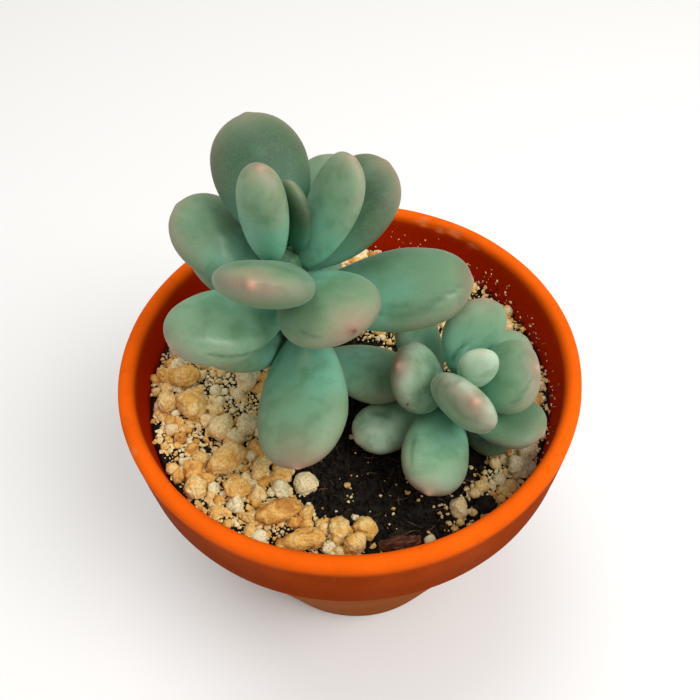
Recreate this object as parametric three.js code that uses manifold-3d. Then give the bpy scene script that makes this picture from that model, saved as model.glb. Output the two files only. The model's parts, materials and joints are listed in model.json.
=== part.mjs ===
// Potted succulent: two leafy stems in a clay flowerpot, with potting soil and pumice on top.
// Millimetres. Up is +Z, the pot's foot stands on z = 0 and its axis is the Z axis. Front is -Y.
import * as THREE from 'three';
import { mergeVertices } from 'three/addons/utils/BufferGeometryUtils.js';
import Module from 'manifold-3d';

const wasm = await Module();
wasm.setup();

// ---- the pot ----
const rimRadius = 80;
const potHeight = 130;
const footRadius = 46;
const collarHeight = 28;
const collarStep = 2.4;
const collarTaper = 1.4;
const wall = 5.2;
const lipRadius = 2.8;
const footChamfer = 1.6;
const floorThickness = 8;
const drainRadius = 8;
const potSegments = 48;

// ---- what fills it ----
const gap = 0.3;
const soilDrop = 22;
const soilUnevenness = 0.7;
const gravelEdge = 1.6;
const gravelDepth = 3.6;
const gravelMound = 3.2;
const stoneSink = 0.3;

// ---- the two stems: foot and lean are shares of the soil's radius, the rest is millimetres ----
const stems = {
  main: { foot: [-0.196, 0.078], lean: [-0.041, -0.190], height: 72, bottom: 6.5, top: 5.0 },
  offset: { foot: [0.359, -0.150], lean: [0.171, -0.171], height: 32, bottom: 5.2, top: 4.0 },
};
const stemBury = 16;
const crownRise = 4.6;
const stemSegments = 14;
const seatDepth = 0.7;

// ---- the leaves ----
const mainLeafLength = 42;
const mainLeafWidth = 27;
const offsetLeafLength = 32;
const offsetLeafWidth = 21;
const leafSegments = 12;
const leafRings = 9;
const leafNeck = 0.045;
const leafBelly = 1.45;

// Each leaf: height up its stem (share), the way it points (degrees round from +X), how far round
// the stem its neck is moved, rise above level, length and width (shares of a full leaf), thickness
// (share of its width), roll about its own axis, and upward curve at the tip (share of its length).
const leafList = {
  main_leaf_01: ['main', 1.047, 107, -10, 38, 0.98, 1.05, 0.54, 1, 0.06],
  main_leaf_02: ['main', 1.056, 212, -14, 87, 0.76, 0.65, 0.62, -9, 0.10],
  main_leaf_03: ['main', 1.056, 37, -5, 86, 0.59, 0.47, 0.50, -2, 0.05],
  main_leaf_04: ['main', 0.986, 19, -2, 55, 0.91, 0.67, 0.50, -15, 0.13],
  main_leaf_05: ['main', 0.945, 36, 5, 27, 0.98, 0.94, 0.48, -15, 0.10],
  main_leaf_06: ['main', 0.820, 70, -2, 23, 1.06, 0.96, 0.55, 11, 0.06],
  main_leaf_07: ['main', 0.823, 152, -8, 27, 0.96, 0.97, 0.56, 2, 0.05],
  main_leaf_08: ['main', 0.655, 136, 3, 13, 0.98, 1.00, 0.56, 2, 0.05],
  main_leaf_09: ['main', 0.827, 220, 20, 11, 0.98, 0.96, 0.54, 5, 0.04],
  main_leaf_10: ['main', 0.438, 204, 0, 31, 0.96, 1.01, 0.55, 5, 0.07],
  main_leaf_11: ['main', 1.037, 263, 0, 31, 1.11, 0.93, 0.48, 6, 0.15],
  main_leaf_12: ['main', 0.931, 297, 14, 19, 0.89, 1.04, 0.50, -6, 0.01],
  main_leaf_13: ['main', 0.590, 269, 27, -15, 1.18, 1.09, 0.56, -23, 0.10],
  main_leaf_14: ['main', 0.755, 354, -4, 10, 1.26, 1.03, 0.57, -11, 0.03],
  main_leaf_15: ['main', 0.271, 336, 2, -6, 0.84, 0.94, 0.53, 12, 0.06],
  main_leaf_16: ['main', 0.608, 78, 0, 2, 0.69, 0.76, 0.56, 0, 0.05],
  main_leaf_17: ['main', 0.340, 128, 0, 12, 0.86, 0.92, 0.56, 0, 0.05],
  offset_leaf_01: ['offset', 0.663, 189, 3, 49, 0.81, 1.09, 0.57, 26, 0.05],
  offset_leaf_02: ['offset', 0.822, 69, 6, 58, 0.93, 1.04, 0.53, -40, 0.13],
  offset_leaf_03: ['offset', 1.099, 271, -13, 83, 0.61, 0.59, 0.57, 2, 0.03],
  offset_leaf_04: ['offset', 0.863, 340, 1, 41, 0.82, 1.11, 0.56, -26, 0.06],
  offset_leaf_05: ['offset', 0.656, 32, 2, 7, 0.94, 0.95, 0.56, 2, 0.05],
  offset_leaf_06: ['offset', 0.765, 261, -8, 44, 1.15, 1.08, 0.54, 40, 0.17],
  offset_leaf_07: ['offset', 0.567, 254, 0, -3, 1.13, 1.05, 0.55, 15, 0.04],
  offset_leaf_08: ['offset', 0.668, 323, -15, 0, 0.96, 0.98, 0.48, -1, 0.11],
  offset_leaf_09: ['offset', 0.567, 323, 9, -30, 0.79, 0.95, 0.51, -4, 0.04],
  offset_leaf_10: ['offset', 0.333, 208, 1, -2, 0.93, 0.93, 0.55, 1, 0.04],
  offset_leaf_11: ['offset', 0.479, 118, 5, 46, 1.00, 0.90, 0.54, -20, 0.06],
};

// ---- the largest stones: place (shares of the soil's radius), length, width, height, turn ----
const stoneList = {
  pumice_stone_01: [[-0.835, 0.03], 10.5, 8, 7, 10],
  pumice_stone_02: [[-0.78, -0.15], 11, 10, 8.5, 40],
  pumice_stone_03: [[-0.905, -0.12], 8.5, 7.5, 6.5, 100],
  pumice_stone_04: [[-0.63, -0.29], 9, 8, 8, 70],
  pumice_stone_05: [[-0.50, -0.27], 8, 7, 7, 20],
  pumice_stone_06: [[-0.59, -0.47], 14, 9.5, 8.5, 38],
  pumice_stone_07: [[-0.53, -0.62], 9.5, 7.5, 7, 160],
  pumice_stone_08: [[-0.72, -0.61], 8, 7, 7, 80],
  pumice_stone_09: [[-0.43, -0.52], 8.5, 5.5, 6, 75],
  pumice_stone_10: [[-0.23, -0.56], 9, 8, 7, 15],
  pumice_stone_11: [[-0.34, -0.745], 15, 8, 8, 14],
  pumice_stone_12: [[-0.24, -0.875], 14.5, 7.5, 7.5, 12],
  pumice_stone_13: [[0.04, -0.80], 9.5, 6.5, 7, 150],
  pumice_stone_14: [[-0.01, -0.90], 9, 6.5, 6.5, 35],
  pumice_stone_15: [[0.47, -0.72], 7.5, 6, 6, 80],
  pumice_stone_16: [[0.83, -0.45], 8, 6.5, 6, 65],
  bark_chip: [[0.19, -0.875], 14, 6, 5, 8],
};

// ---- small helpers ----
const turn = (degrees) => (degrees * Math.PI) / 180;

function solid(points, triangles) {
  const vertProperties = new Float32Array(points.flat());
  const triVerts = new Uint32Array(triangles.flat());
  return new wasm.Manifold(new wasm.Mesh({ numProp: 3, vertProperties, triVerts }));
}

function solidFromGeometry(geometry) {
  const plain = new THREE.BufferGeometry();
  plain.setAttribute('position', geometry.getAttribute('position'));
  if (geometry.index) plain.setIndex(geometry.index);
  const merged = mergeVertices(plain, 1e-4);
  const points = [];
  const place = merged.getAttribute('position');
  for (let i = 0; i < place.count; i += 1) points.push([place.getX(i), place.getY(i), place.getZ(i)]);
  const triangles = [];
  for (let i = 0; i < merged.index.count; i += 3) {
    const corner = [0, 1, 2].map((k) => merged.index.getX(i + k));
    if (new Set(corner).size === 3) triangles.push(corner);
  }
  return solid(points, triangles);
}

function largestBody(shape) {
  return shape.decompose().sort((a, b) => b.volume() - a.volume())[0];
}

function overlapVolume(a, b) {
  const one = a.boundingBox();
  const two = b.boundingBox();
  const apart = [0, 1, 2].some((k) => one.max[k] < two.min[k] || two.max[k] < one.min[k]);
  return apart ? 0 : a.intersect(b).volume();
}

// A closed skin over rings of points, from a first middle point to a last one.
function skin(first, rings, last) {
  const count = rings[0].length;
  const points = [first, ...rings.flat(), last];
  const at = (ring, k) => 1 + ring * count + (k % count);
  const triangles = [];
  for (let k = 0; k < count; k += 1) {
    triangles.push([0, at(0, k + 1), at(0, k)]);
    triangles.push([points.length - 1, at(rings.length - 1, k), at(rings.length - 1, k + 1)]);
    for (let ring = 0; ring < rings.length - 1; ring += 1) {
      triangles.push([at(ring, k), at(ring, k + 1), at(ring + 1, k + 1)]);
      triangles.push([at(ring, k), at(ring + 1, k + 1), at(ring + 1, k)]);
    }
  }
  return solid(points, triangles);
}

// ---- the pot ----
const collarBottom = potHeight - collarHeight;
const bodyTopRadius = rimRadius - collarTaper - collarStep;
const innerProfile = [
  [footRadius - wall, floorThickness + 1],
  [bodyTopRadius - wall, collarBottom - 2],
  [rimRadius - 2 * lipRadius - 0.2, potHeight - lipRadius - 1],
];

function insideRadius(z) {
  const [low, middle, high] = innerProfile;
  const [a, b] = z < middle[1] ? [low, middle] : [middle, high];
  return a[0] + ((b[0] - a[0]) * (z - a[1])) / (b[1] - a[1]);
}

function pot(grow) {
  const profile = [
    [drainRadius, 0],
    [footRadius - footChamfer, 0],
    [footRadius, footChamfer],
    [bodyTopRadius, collarBottom - 0.6],
    [bodyTopRadius + 0.5, collarBottom],
    [rimRadius - collarTaper - 0.8, collarBottom],
    [rimRadius - collarTaper, collarBottom + 1],
  ];
  const lipMiddle = [rimRadius - lipRadius, potHeight - lipRadius];
  for (let step = 0; step <= 6; step += 1) {
    const angle = turn(step * 30);
    const radius = lipRadius + grow;
    profile.push([lipMiddle[0] + radius * Math.cos(angle), lipMiddle[1] + radius * Math.sin(angle)]);
  }
  [2, 1, 0].forEach((k) => profile.push([innerProfile[k][0] - grow, innerProfile[k][1]]));
  profile.push([footRadius - wall - 1.5, floorThickness]);
  profile.push([drainRadius + 0.8, floorThickness]);
  profile.push([drainRadius, floorThickness - 0.8]);
  profile.push([drainRadius, 0]);
  const outline = profile.map(([r, z]) => new THREE.Vector2(r, z));
  const shape = new THREE.LatheGeometry(outline, potSegments);
  shape.rotateX(Math.PI / 2);
  return solidFromGeometry(shape);
}

// ---- soil and gravel ----
const soilLevel = potHeight - soilDrop;
const soilRadius = insideRadius(soilLevel) - gap;

const soilShares = [1, 0.87, 0.7, 0.5, 0.28];

function soilTop(x, y) {
  const waves = Math.sin(x / 9 + 1.3) * Math.cos(y / 11) + 0.6 * Math.sin((x + y) / 6);
  return soilLevel + soilUnevenness * waves;
}

function ringPoint(radius, step, z) {
  const angle = (step * 2 * Math.PI) / potSegments;
  return [radius * Math.cos(angle), radius * Math.sin(angle), z];
}

function fullRing(radiusAt, heightAt) {
  return Array.from({ length: potSegments }, (_, step) => {
    const [x, y] = ringPoint(radiusAt, step, 0);
    return ringPoint(radiusAt, step, heightAt(x, y));
  });
}

function soil() {
  const low = floorThickness + gap;
  const rings = [fullRing(footRadius - wall - gap - 1.2, () => low)];
  rings.push(fullRing(insideRadius(low + 3) - gap, () => low + 3));
  rings.push(fullRing(insideRadius(collarBottom - 2) - gap, () => collarBottom - 2));
  soilShares.forEach((share) => rings.push(fullRing(soilRadius * share, soilTop)));
  return skin([0, 0, low], rings, [0, 0, soilTop(0, 0)]);
}

// The room that the gravel leaves for the soil: its top raised by the gap, and wider all round.
function soilRoom() {
  const lifted = (x, y) => soilTop(x, y) + gap;
  const top = soilShares.map((share) => fullRing(soilRadius * share, lifted));
  const wider = 1.03;
  const rim = top[0].map(([x, y, z]) => [x * wider, y * wider, z]);
  const foot = rim.map(([x, y]) => [x, y, soilLevel - 10]);
  return skin([0, 0, soilLevel - 10], [foot, rim, ...top], [0, 0, lifted(0, 0)]);
}

// Inner edge of the gravel, as a share of the soil's radius, from one tip of the crescent round
// the back to the other tip at the front.
const gravelStart = -7;
const gravelInner = [0.90, 0.85, 0.80, 0.74, 0.66, 0.60, 0.56, 0.54, 0.51, 0.48, 0.46, 0.43, 0.40, 0.37, 0.35, 0.33,
  0.32, 0.32, 0.33, 0.34, 0.35, 0.36, 0.37, 0.37, 0.37, 0.36, 0.36, 0.35, 0.34, 0.33, 0.32, 0.32,
  0.33, 0.34, 0.36, 0.40, 0.46, 0.53, 0.60, 0.66, 0.70, 0.74, 0.80, 0.86];

// The gravel is mounded on the left and thins out towards the two tips of the crescent.
function gravelTop(x, y) {
  const towardsMound = (-0.85 * x - 0.5 * y) / soilRadius;
  const mound = gravelMound * THREE.MathUtils.smoothstep(towardsMound, -0.1, 0.75);
  const along = stepsFromTip(x, y);
  const nearestTip = Math.min(along, gravelInner.length - 1 - along);
  const thinning = 0.5 + 0.5 * THREE.MathUtils.smoothstep(nearestTip, 0, 4);
  return soilTop(x, y) + gap + (gravelDepth + mound) * thinning;
}

function stepsFromTip(x, y) {
  const steps = (Math.atan2(y, x) / (2 * Math.PI)) * potSegments;
  return THREE.MathUtils.euclideanModulo(steps - gravelStart + 0.01, potSegments) - 0.01;
}

function gravelCovers(x, y) {
  const index = Math.round(stepsFromTip(x, y));
  return index < gravelInner.length && Math.hypot(x, y) > (gravelInner[index] + 0.04) * soilRadius;
}

function gravel() {
  const shares = [0, 0.06, 0.35, 0.68, 1];
  const rings = gravelInner.map((inner, index) => {
    const step = gravelStart + index;
    const start = inner * soilRadius;
    const top = shares.map((share) => {
      const reach = start + share * (soilRadius - start);
      const [x, y] = ringPoint(reach, step, 0);
      const height = share === 0 ? soilTop(x, y) + gap + gravelEdge : gravelTop(x, y);
      return share === 1 ? ringPoint(insideRadius(height) - gap, step, height) : [x, y, height];
    });
    const low = soilLevel - 4;
    const outer = ringPoint(insideRadius(low) - gap, step, low);
    return [...top, outer, ringPoint(start, step, low)];
  });
  const middle = (ring) => [0, 1, 2].map((k) => ring.reduce((sum, p) => sum + p[k], 0) / ring.length);
  return skin(middle(rings[0]), rings, middle(rings.at(-1)));
}

function pebble(name, grow) {
  const [spot, length, width, height, yaw] = stoneList[name];
  const number = Object.keys(stoneList).indexOf(name) + 1;
  const x = spot[0] * soilRadius;
  const y = spot[1] * soilRadius;
  const shape = new THREE.IcosahedronGeometry(1, 1);
  const place = shape.getAttribute('position');
  const point = new THREE.Vector3();
  for (let i = 0; i < place.count; i += 1) {
    point.fromBufferAttribute(place, i);
    const bump = Math.sin(3.1 * point.x + number) + Math.sin(3.7 * point.y + 2.3 * number)
      + Math.sin(2.9 * point.z + 1.7 * number);
    point.multiplyScalar(0.94 + 0.045 * bump);
    place.setXYZ(i, point.x, point.y, point.z);
  }
  shape.scale(length / 2 + grow, width / 2 + grow, height / 2 + grow);
  shape.rotateZ(turn(yaw));
  const rests = gravelCovers(x, y) ? gravelTop(x, y) : soilTop(x, y);
  shape.translate(x, y, rests + height * (0.5 - stoneSink));
  return solidFromGeometry(shape);
}

// ---- stems ----
function stemCentre(stem, share) {
  const [foot, lean] = [stem.foot, stem.lean];
  return new THREE.Vector3(
    (foot[0] + lean[0] * share) * soilRadius,
    (foot[1] + lean[1] * share) * soilRadius,
    soilLevel + stem.height * share,
  );
}

function stemRadius(stem, share) {
  return THREE.MathUtils.lerp(stem.bottom, stem.top, THREE.MathUtils.clamp(share, 0, 1));
}

function stemShape(stem, grow) {
  const stations = [];
  for (let step = 0; step <= 6; step += 1) stations.push([step / 6, 1]);
  const rings = [[-stemBury / stem.height, 0.6], ...stations].map(([share, fullness]) => {
    const centre = stemCentre(stem, share);
    const radius = stemRadius(stem, share) * fullness + grow;
    return Array.from({ length: stemSegments }, (_, k) => {
      const angle = (k * 2 * Math.PI) / stemSegments;
      return [centre.x + radius * Math.cos(angle), centre.y + radius * Math.sin(angle), centre.z];
    });
  });
  const crown = stemCentre(stem, 1);
  rings.push(rings.at(-1).map(([x, y, z]) => [
    crown.x + (x - crown.x) * 0.72,
    crown.y + (y - crown.y) * 0.72,
    z + crownRise * 0.72,
  ]));
  const low = stemCentre(stem, -stemBury / stem.height);
  const first = [low.x, low.y, low.z - 2 - grow];
  return skin(first, rings, [crown.x, crown.y, crown.z + crownRise + grow]);
}

// ---- leaves ----
// Half-width of a leaf at a share of its length: a narrow neck, a broad belly past the middle, a
// round tip.
function leafOutline(share) {
  return Math.sqrt(Math.max(0, 1 - (2 * share ** leafBelly - 1) ** 2));
}

function leaf(name, grow) {
  const [which, up, point, seat, rise, long, wide, thick, roll, curve] = leafList[name];
  const stem = stems[which];
  const isMain = which === 'main';
  const length = long * (isMain ? mainLeafLength : offsetLeafLength);
  const width = wide * (isMain ? mainLeafWidth : offsetLeafWidth);
  const centre = stemCentre(stem, up);
  const reach = stemRadius(stem, up) - seatDepth;
  const neck = new THREE.Vector3(
    centre.x + reach * Math.cos(turn(point + seat)),
    centre.y + reach * Math.sin(turn(point + seat)),
    centre.z,
  );
  const [a, e, r] = [turn(point), turn(rise), turn(roll)];
  const along = new THREE.Vector3(Math.cos(a) * Math.cos(e), Math.sin(a) * Math.cos(e), Math.sin(e));
  const level = new THREE.Vector3(-Math.cos(a) * Math.sin(e), -Math.sin(a) * Math.sin(e), Math.cos(e));
  const side = new THREE.Vector3().crossVectors(level, along);
  const upper = level.clone().multiplyScalar(Math.cos(r)).addScaledVector(side, Math.sin(r));
  const across = new THREE.Vector3().crossVectors(upper, along);
  const onAxis = (share) => {
    const stretch = grow * (2 * share - 1);
    return neck.clone().addScaledVector(along, (share - leafNeck) * length + stretch)
      .addScaledVector(upper, curve * length * share ** 2);
  };
  const rings = [];
  for (let i = 0; i < leafRings; i += 1) {
    const share = leafNeck + (1 - leafNeck) * Math.sin((i / leafRings) * (Math.PI / 2));
    const halfWidth = (width / 2) * leafOutline(share) + grow;
    const halfThick = halfWidth * thick;
    const middle = onAxis(share);
    rings.push(Array.from({ length: leafSegments }, (_, k) => {
      const angle = (k * 2 * Math.PI) / leafSegments;
      return middle.clone().addScaledVector(across, halfWidth * Math.cos(angle))
        .addScaledVector(upper, halfThick * Math.sin(angle)).toArray();
    }));
  }
  return skin(onAxis(leafNeck).toArray(), rings, onAxis(1).toArray());
}

// ---- put together ----
const made = new Map();
const crowd = new Map();
const cutBack = (shape, other) => (overlapVolume(shape, other) > 0 ? shape.subtract(other) : shape);

// The leaves and stones stand clear of the pot and, all but a pair or two, of each other. Where a
// changed size makes two meet, the later one is pressed back from the earlier one by the gap.
function addApart(name, shape, grown) {
  let kept = shape;
  crowd.forEach((neighbour) => {
    if (overlapVolume(kept, neighbour.shape) > 0) kept = largestBody(kept.subtract(neighbour.grown));
  });
  crowd.set(name, { shape: kept, grown });
  made.set(name, kept);
}

addApart('terracotta_pot', pot(0), pot(gap));
Object.keys(leafList).forEach((name) => addApart(name, leaf(name, 0), leaf(name, gap)));
Object.keys(stoneList).forEach((name) => addApart(name, pebble(name, 0), pebble(name, gap)));

function plantAndStones() {
  return [...crowd].filter(([name]) => name !== 'terracotta_pot').map(([, { grown }]) => grown);
}

['main', 'offset'].forEach((which) => {
  let stem = stemShape(stems[which], 0);
  plantAndStones().forEach((room) => {
    stem = cutBack(stem, room);
  });
  made.set(`${which}_stem`, largestBody(stem));
});

const stemRoom = ['main', 'offset'].map((which) => stemShape(stems[which], gap));
let earth = soil();
let topping = cutBack(gravel(), soilRoom());
[...stemRoom, ...plantAndStones()].forEach((room) => {
  earth = cutBack(earth, room);
  topping = cutBack(topping, room);
});
made.set('potting_soil', largestBody(earth));
made.set('gravel_top_dressing', largestBody(topping));

const colours = {
  terracotta_pot: 0xb5562b,
  potting_soil: 0x1f1a17,
  gravel_top_dressing: 0xd8c7a2,
  main_stem: 0x7f8f6c,
  offset_stem: 0x86966f,
  bark_chip: 0x5a3a26,
};

function colourFor(name) {
  if (colours[name]) return colours[name];
  if (name.startsWith('pumice')) return 0xdcc08a;
  return name.startsWith('main') ? 0x7fa08c : 0x8aa894;
}

const model = new THREE.Group();
made.forEach((shape, name) => {
  const mesh = shape.getMesh();
  const geometry = new THREE.BufferGeometry();
  geometry.setAttribute('position', new THREE.BufferAttribute(new Float32Array(mesh.vertProperties), 3));
  geometry.setIndex(new THREE.BufferAttribute(new Uint32Array(mesh.triVerts), 1));
  geometry.computeVertexNormals();
  const piece = new THREE.Mesh(geometry, new THREE.MeshStandardMaterial({ color: colourFor(name) }));
  piece.name = name;
  model.add(piece);
});

export default model;
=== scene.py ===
"""Potted succulent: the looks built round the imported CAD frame, laid out as a Blender add-on."""
import json
import math
import random

import bmesh
import bpy
import numpy as np
from mathutils import Matrix, Vector, noise
from mathutils.bvhtree import BVHTree

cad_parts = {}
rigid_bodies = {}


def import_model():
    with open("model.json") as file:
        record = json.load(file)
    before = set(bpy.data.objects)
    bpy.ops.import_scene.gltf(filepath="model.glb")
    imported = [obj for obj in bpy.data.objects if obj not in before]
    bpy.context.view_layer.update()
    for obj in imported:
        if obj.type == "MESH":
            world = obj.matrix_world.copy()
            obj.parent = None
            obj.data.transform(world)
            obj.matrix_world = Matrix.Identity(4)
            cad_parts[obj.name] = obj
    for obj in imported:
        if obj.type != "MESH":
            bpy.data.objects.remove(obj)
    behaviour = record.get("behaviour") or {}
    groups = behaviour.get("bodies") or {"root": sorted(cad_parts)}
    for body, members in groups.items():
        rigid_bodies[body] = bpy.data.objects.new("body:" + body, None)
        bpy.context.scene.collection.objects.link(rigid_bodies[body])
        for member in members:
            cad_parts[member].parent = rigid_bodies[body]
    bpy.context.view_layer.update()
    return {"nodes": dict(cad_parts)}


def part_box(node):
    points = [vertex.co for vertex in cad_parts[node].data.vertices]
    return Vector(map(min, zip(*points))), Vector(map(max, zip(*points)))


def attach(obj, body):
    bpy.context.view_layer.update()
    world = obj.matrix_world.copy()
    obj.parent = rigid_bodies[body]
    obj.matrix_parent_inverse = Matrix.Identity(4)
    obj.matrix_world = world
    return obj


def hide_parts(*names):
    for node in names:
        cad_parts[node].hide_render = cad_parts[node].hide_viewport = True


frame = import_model()

bl_info = {
    "name": "Potted Succulent",
    "version": (1, 0, 0),
    "blender": (4, 5, 0),
    "location": "3D View > Sidebar > Succulent",
    "description": "Builds a moonstone succulent in a clay flowerpot with a pumice top dressing",
    "category": "Add Mesh",
}

MM = 0.001
POT = "terracotta_pot"
SOIL = "potting_soil"
GRAVEL = "gravel_top_dressing"
STONES = sorted(n for n in frame["nodes"] if n.startswith("pumice_stone"))
LEAVES = sorted(n for n in frame["nodes"] if "_leaf_" in n)
BURIERS = [*STONES, "bark_chip", "main_stem", "offset_stem"]
RIM_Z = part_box(POT)[1].z
RIM_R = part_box(POT)[1].x


# ---------------------------------------------------------------- properties
class PotSettings(bpy.types.PropertyGroup):
    clay: bpy.props.FloatVectorProperty(
        name="Clay", description="Colour of the dry fired clay", subtype="COLOR",
        default=(0.315, 0.040, 0.0012))
    damp_clay: bpy.props.FloatVectorProperty(
        name="Damp Clay", description="Colour of the inner wall where it has drawn up water",
        subtype="COLOR", default=(0.36, 0.016, 0.001))
    segments: bpy.props.IntProperty(
        name="Segments", description="Steps round the pot", default=192, min=48)
    unevenness: bpy.props.FloatProperty(
        name="Unevenness", description="How far the thrown wall wanders", default=0.22 * MM,
        unit="LENGTH", min=0.0)


class LeafSettings(bpy.types.PropertyGroup):
    teal: bpy.props.FloatVectorProperty(
        name="Teal", description="Pale blue-green near the neck of a leaf", subtype="COLOR",
        default=(0.160, 0.440, 0.300))
    flesh: bpy.props.FloatVectorProperty(
        name="Flesh", description="Deeper green of the flesh", subtype="COLOR",
        default=(0.070, 0.190, 0.085))
    sage: bpy.props.FloatVectorProperty(
        name="Sage", description="Grey-green wax over most of a leaf", subtype="COLOR",
        default=(0.160, 0.315, 0.165))
    mauve: bpy.props.FloatVectorProperty(
        name="Mauve", description="Pinkish grey of the rims and tips", subtype="COLOR",
        default=(0.275, 0.222, 0.150))
    blush: bpy.props.FloatVectorProperty(
        name="Blush", description="Warm pink at the point", subtype="COLOR",
        default=(0.62, 0.33, 0.23))
    # The wax colour is also painted on as light: thicker on upper sides and in pale streaks.
    wax: bpy.props.FloatVectorProperty(
        name="Wax", description="Pale powdery bloom", subtype="COLOR",
        default=(0.42, 0.56, 0.41))
    point: bpy.props.FloatProperty(
        name="Point", description="Height of the small point at the tip", default=0.7 * MM,
        unit="LENGTH", min=0.0)


class BedSettings(bpy.types.PropertyGroup):
    peat: bpy.props.FloatVectorProperty(
        name="Peat", description="Damp black peat", subtype="COLOR", default=(0.0060, 0.0042, 0.0028))
    pumice: bpy.props.FloatVectorProperty(
        name="Pumice", description="Cream pumice", subtype="COLOR", default=(0.92, 0.68, 0.295))
    ochre: bpy.props.FloatVectorProperty(
        name="Ochre", description="Rust stain in the pumice", subtype="COLOR",
        default=(0.84, 0.465, 0.105))
    crumble: bpy.props.FloatProperty(
        name="Crumble", description="Height of the lumps in the peat", default=1.1 * MM,
        unit="LENGTH", min=0.0)
    seed: bpy.props.IntProperty(name="Seed", description="Seed for the scatter", default=7)


class StageSettings(bpy.types.PropertyGroup):
    floor: bpy.props.FloatVectorProperty(
        name="Floor", description="Pale floor", subtype="COLOR", default=(0.86, 0.86, 0.85))
    fill: bpy.props.FloatProperty(
        name="Fill", description="Strength of the light from all round", default=0.55, min=0.0)
    key: bpy.props.FloatProperty(
        name="Key", description="Power of the main lamp", default=15.0, unit="POWER", min=0.0)
    distance: bpy.props.FloatProperty(
        name="Distance", description="Camera to the middle of the rim", default=261.2 * MM,
        unit="LENGTH", min=0.0)
    elevation: bpy.props.FloatProperty(
        name="Elevation", description="Height of the camera above the rim, as an angle",
        default=math.radians(50.37), subtype="ANGLE")
    roll: bpy.props.FloatProperty(
        name="Roll", description="Roll of the camera", default=math.radians(-2.45), subtype="ANGLE")
    lens: bpy.props.FloatProperty(
        name="Lens", description="Focal length", default=38.571, unit="CAMERA", min=1.0)


def settings(kind):
    return getattr(bpy.context.scene, "succulent_" + kind)


# ---------------------------------------------------------------- mesh helpers
def add_piece(name, points, faces, smooth=True):
    mesh = bpy.data.meshes.new(name)
    mesh.from_pydata([tuple(p) for p in points], [], faces)
    mesh.validate()
    mesh.update()
    mesh.polygons.foreach_set("use_smooth", [smooth] * len(mesh.polygons))
    piece = bpy.data.objects.new(name, mesh)
    bpy.context.scene.collection.objects.link(piece)
    return piece


def mount(piece, slot, *replaced):
    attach(piece, "root")
    if replaced:
        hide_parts(*replaced)
    return piece


def paint(piece, name, values):
    """A number for every point of a piece."""
    layer = piece.data.attributes.new(name, "FLOAT", "POINT")
    layer.data.foreach_set("value", np.asarray(values, dtype=np.float32).ravel())


def merged(node):
    """A joined-up copy of a CAD node's loose triangles."""
    bm = bmesh.new()
    bm.from_mesh(frame["nodes"][node].data)
    bmesh.ops.remove_doubles(bm, verts=bm.verts, dist=0.004 * MM)
    bm.verts.ensure_lookup_table()
    return bm


def tree_of(node):
    bm = merged(node)
    tree = BVHTree.FromBMesh(bm)
    bm.free()
    return tree


def rings_to_faces(count, rings, closed_top=True, closed_foot=True):
    """Faces of a skin over rings of points, with a first and a last middle point."""
    at = lambda ring, k: 1 + ring * count + k % count
    faces = []
    for k in range(count):
        if closed_foot:
            faces.append((0, at(0, k + 1), at(0, k)))
        if closed_top:
            faces.append((1 + rings * count, at(rings - 1, k), at(rings - 1, k + 1)))
        for ring in range(rings - 1):
            faces.append((at(ring, k), at(ring, k + 1), at(ring + 1, k + 1), at(ring + 1, k)))
    return faces


def rough(point, size, octaves=3):
    """Smooth wandering between about -1 and 1, with lumps of the given size in metres."""
    total, weight, scale = 0.0, 1.0, 1.0 / size
    for octave in range(octaves):
        total += weight * noise.noise(Vector(point) * scale + Vector((17.1 * octave, 3.7, 9.2)))
        weight *= 0.5
        scale *= 2.03
    return total


def smoothstep(low, high, value):
    share = min(1.0, max(0.0, (value - low) / (high - low)))
    return share * share * (3 - 2 * share)


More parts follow.
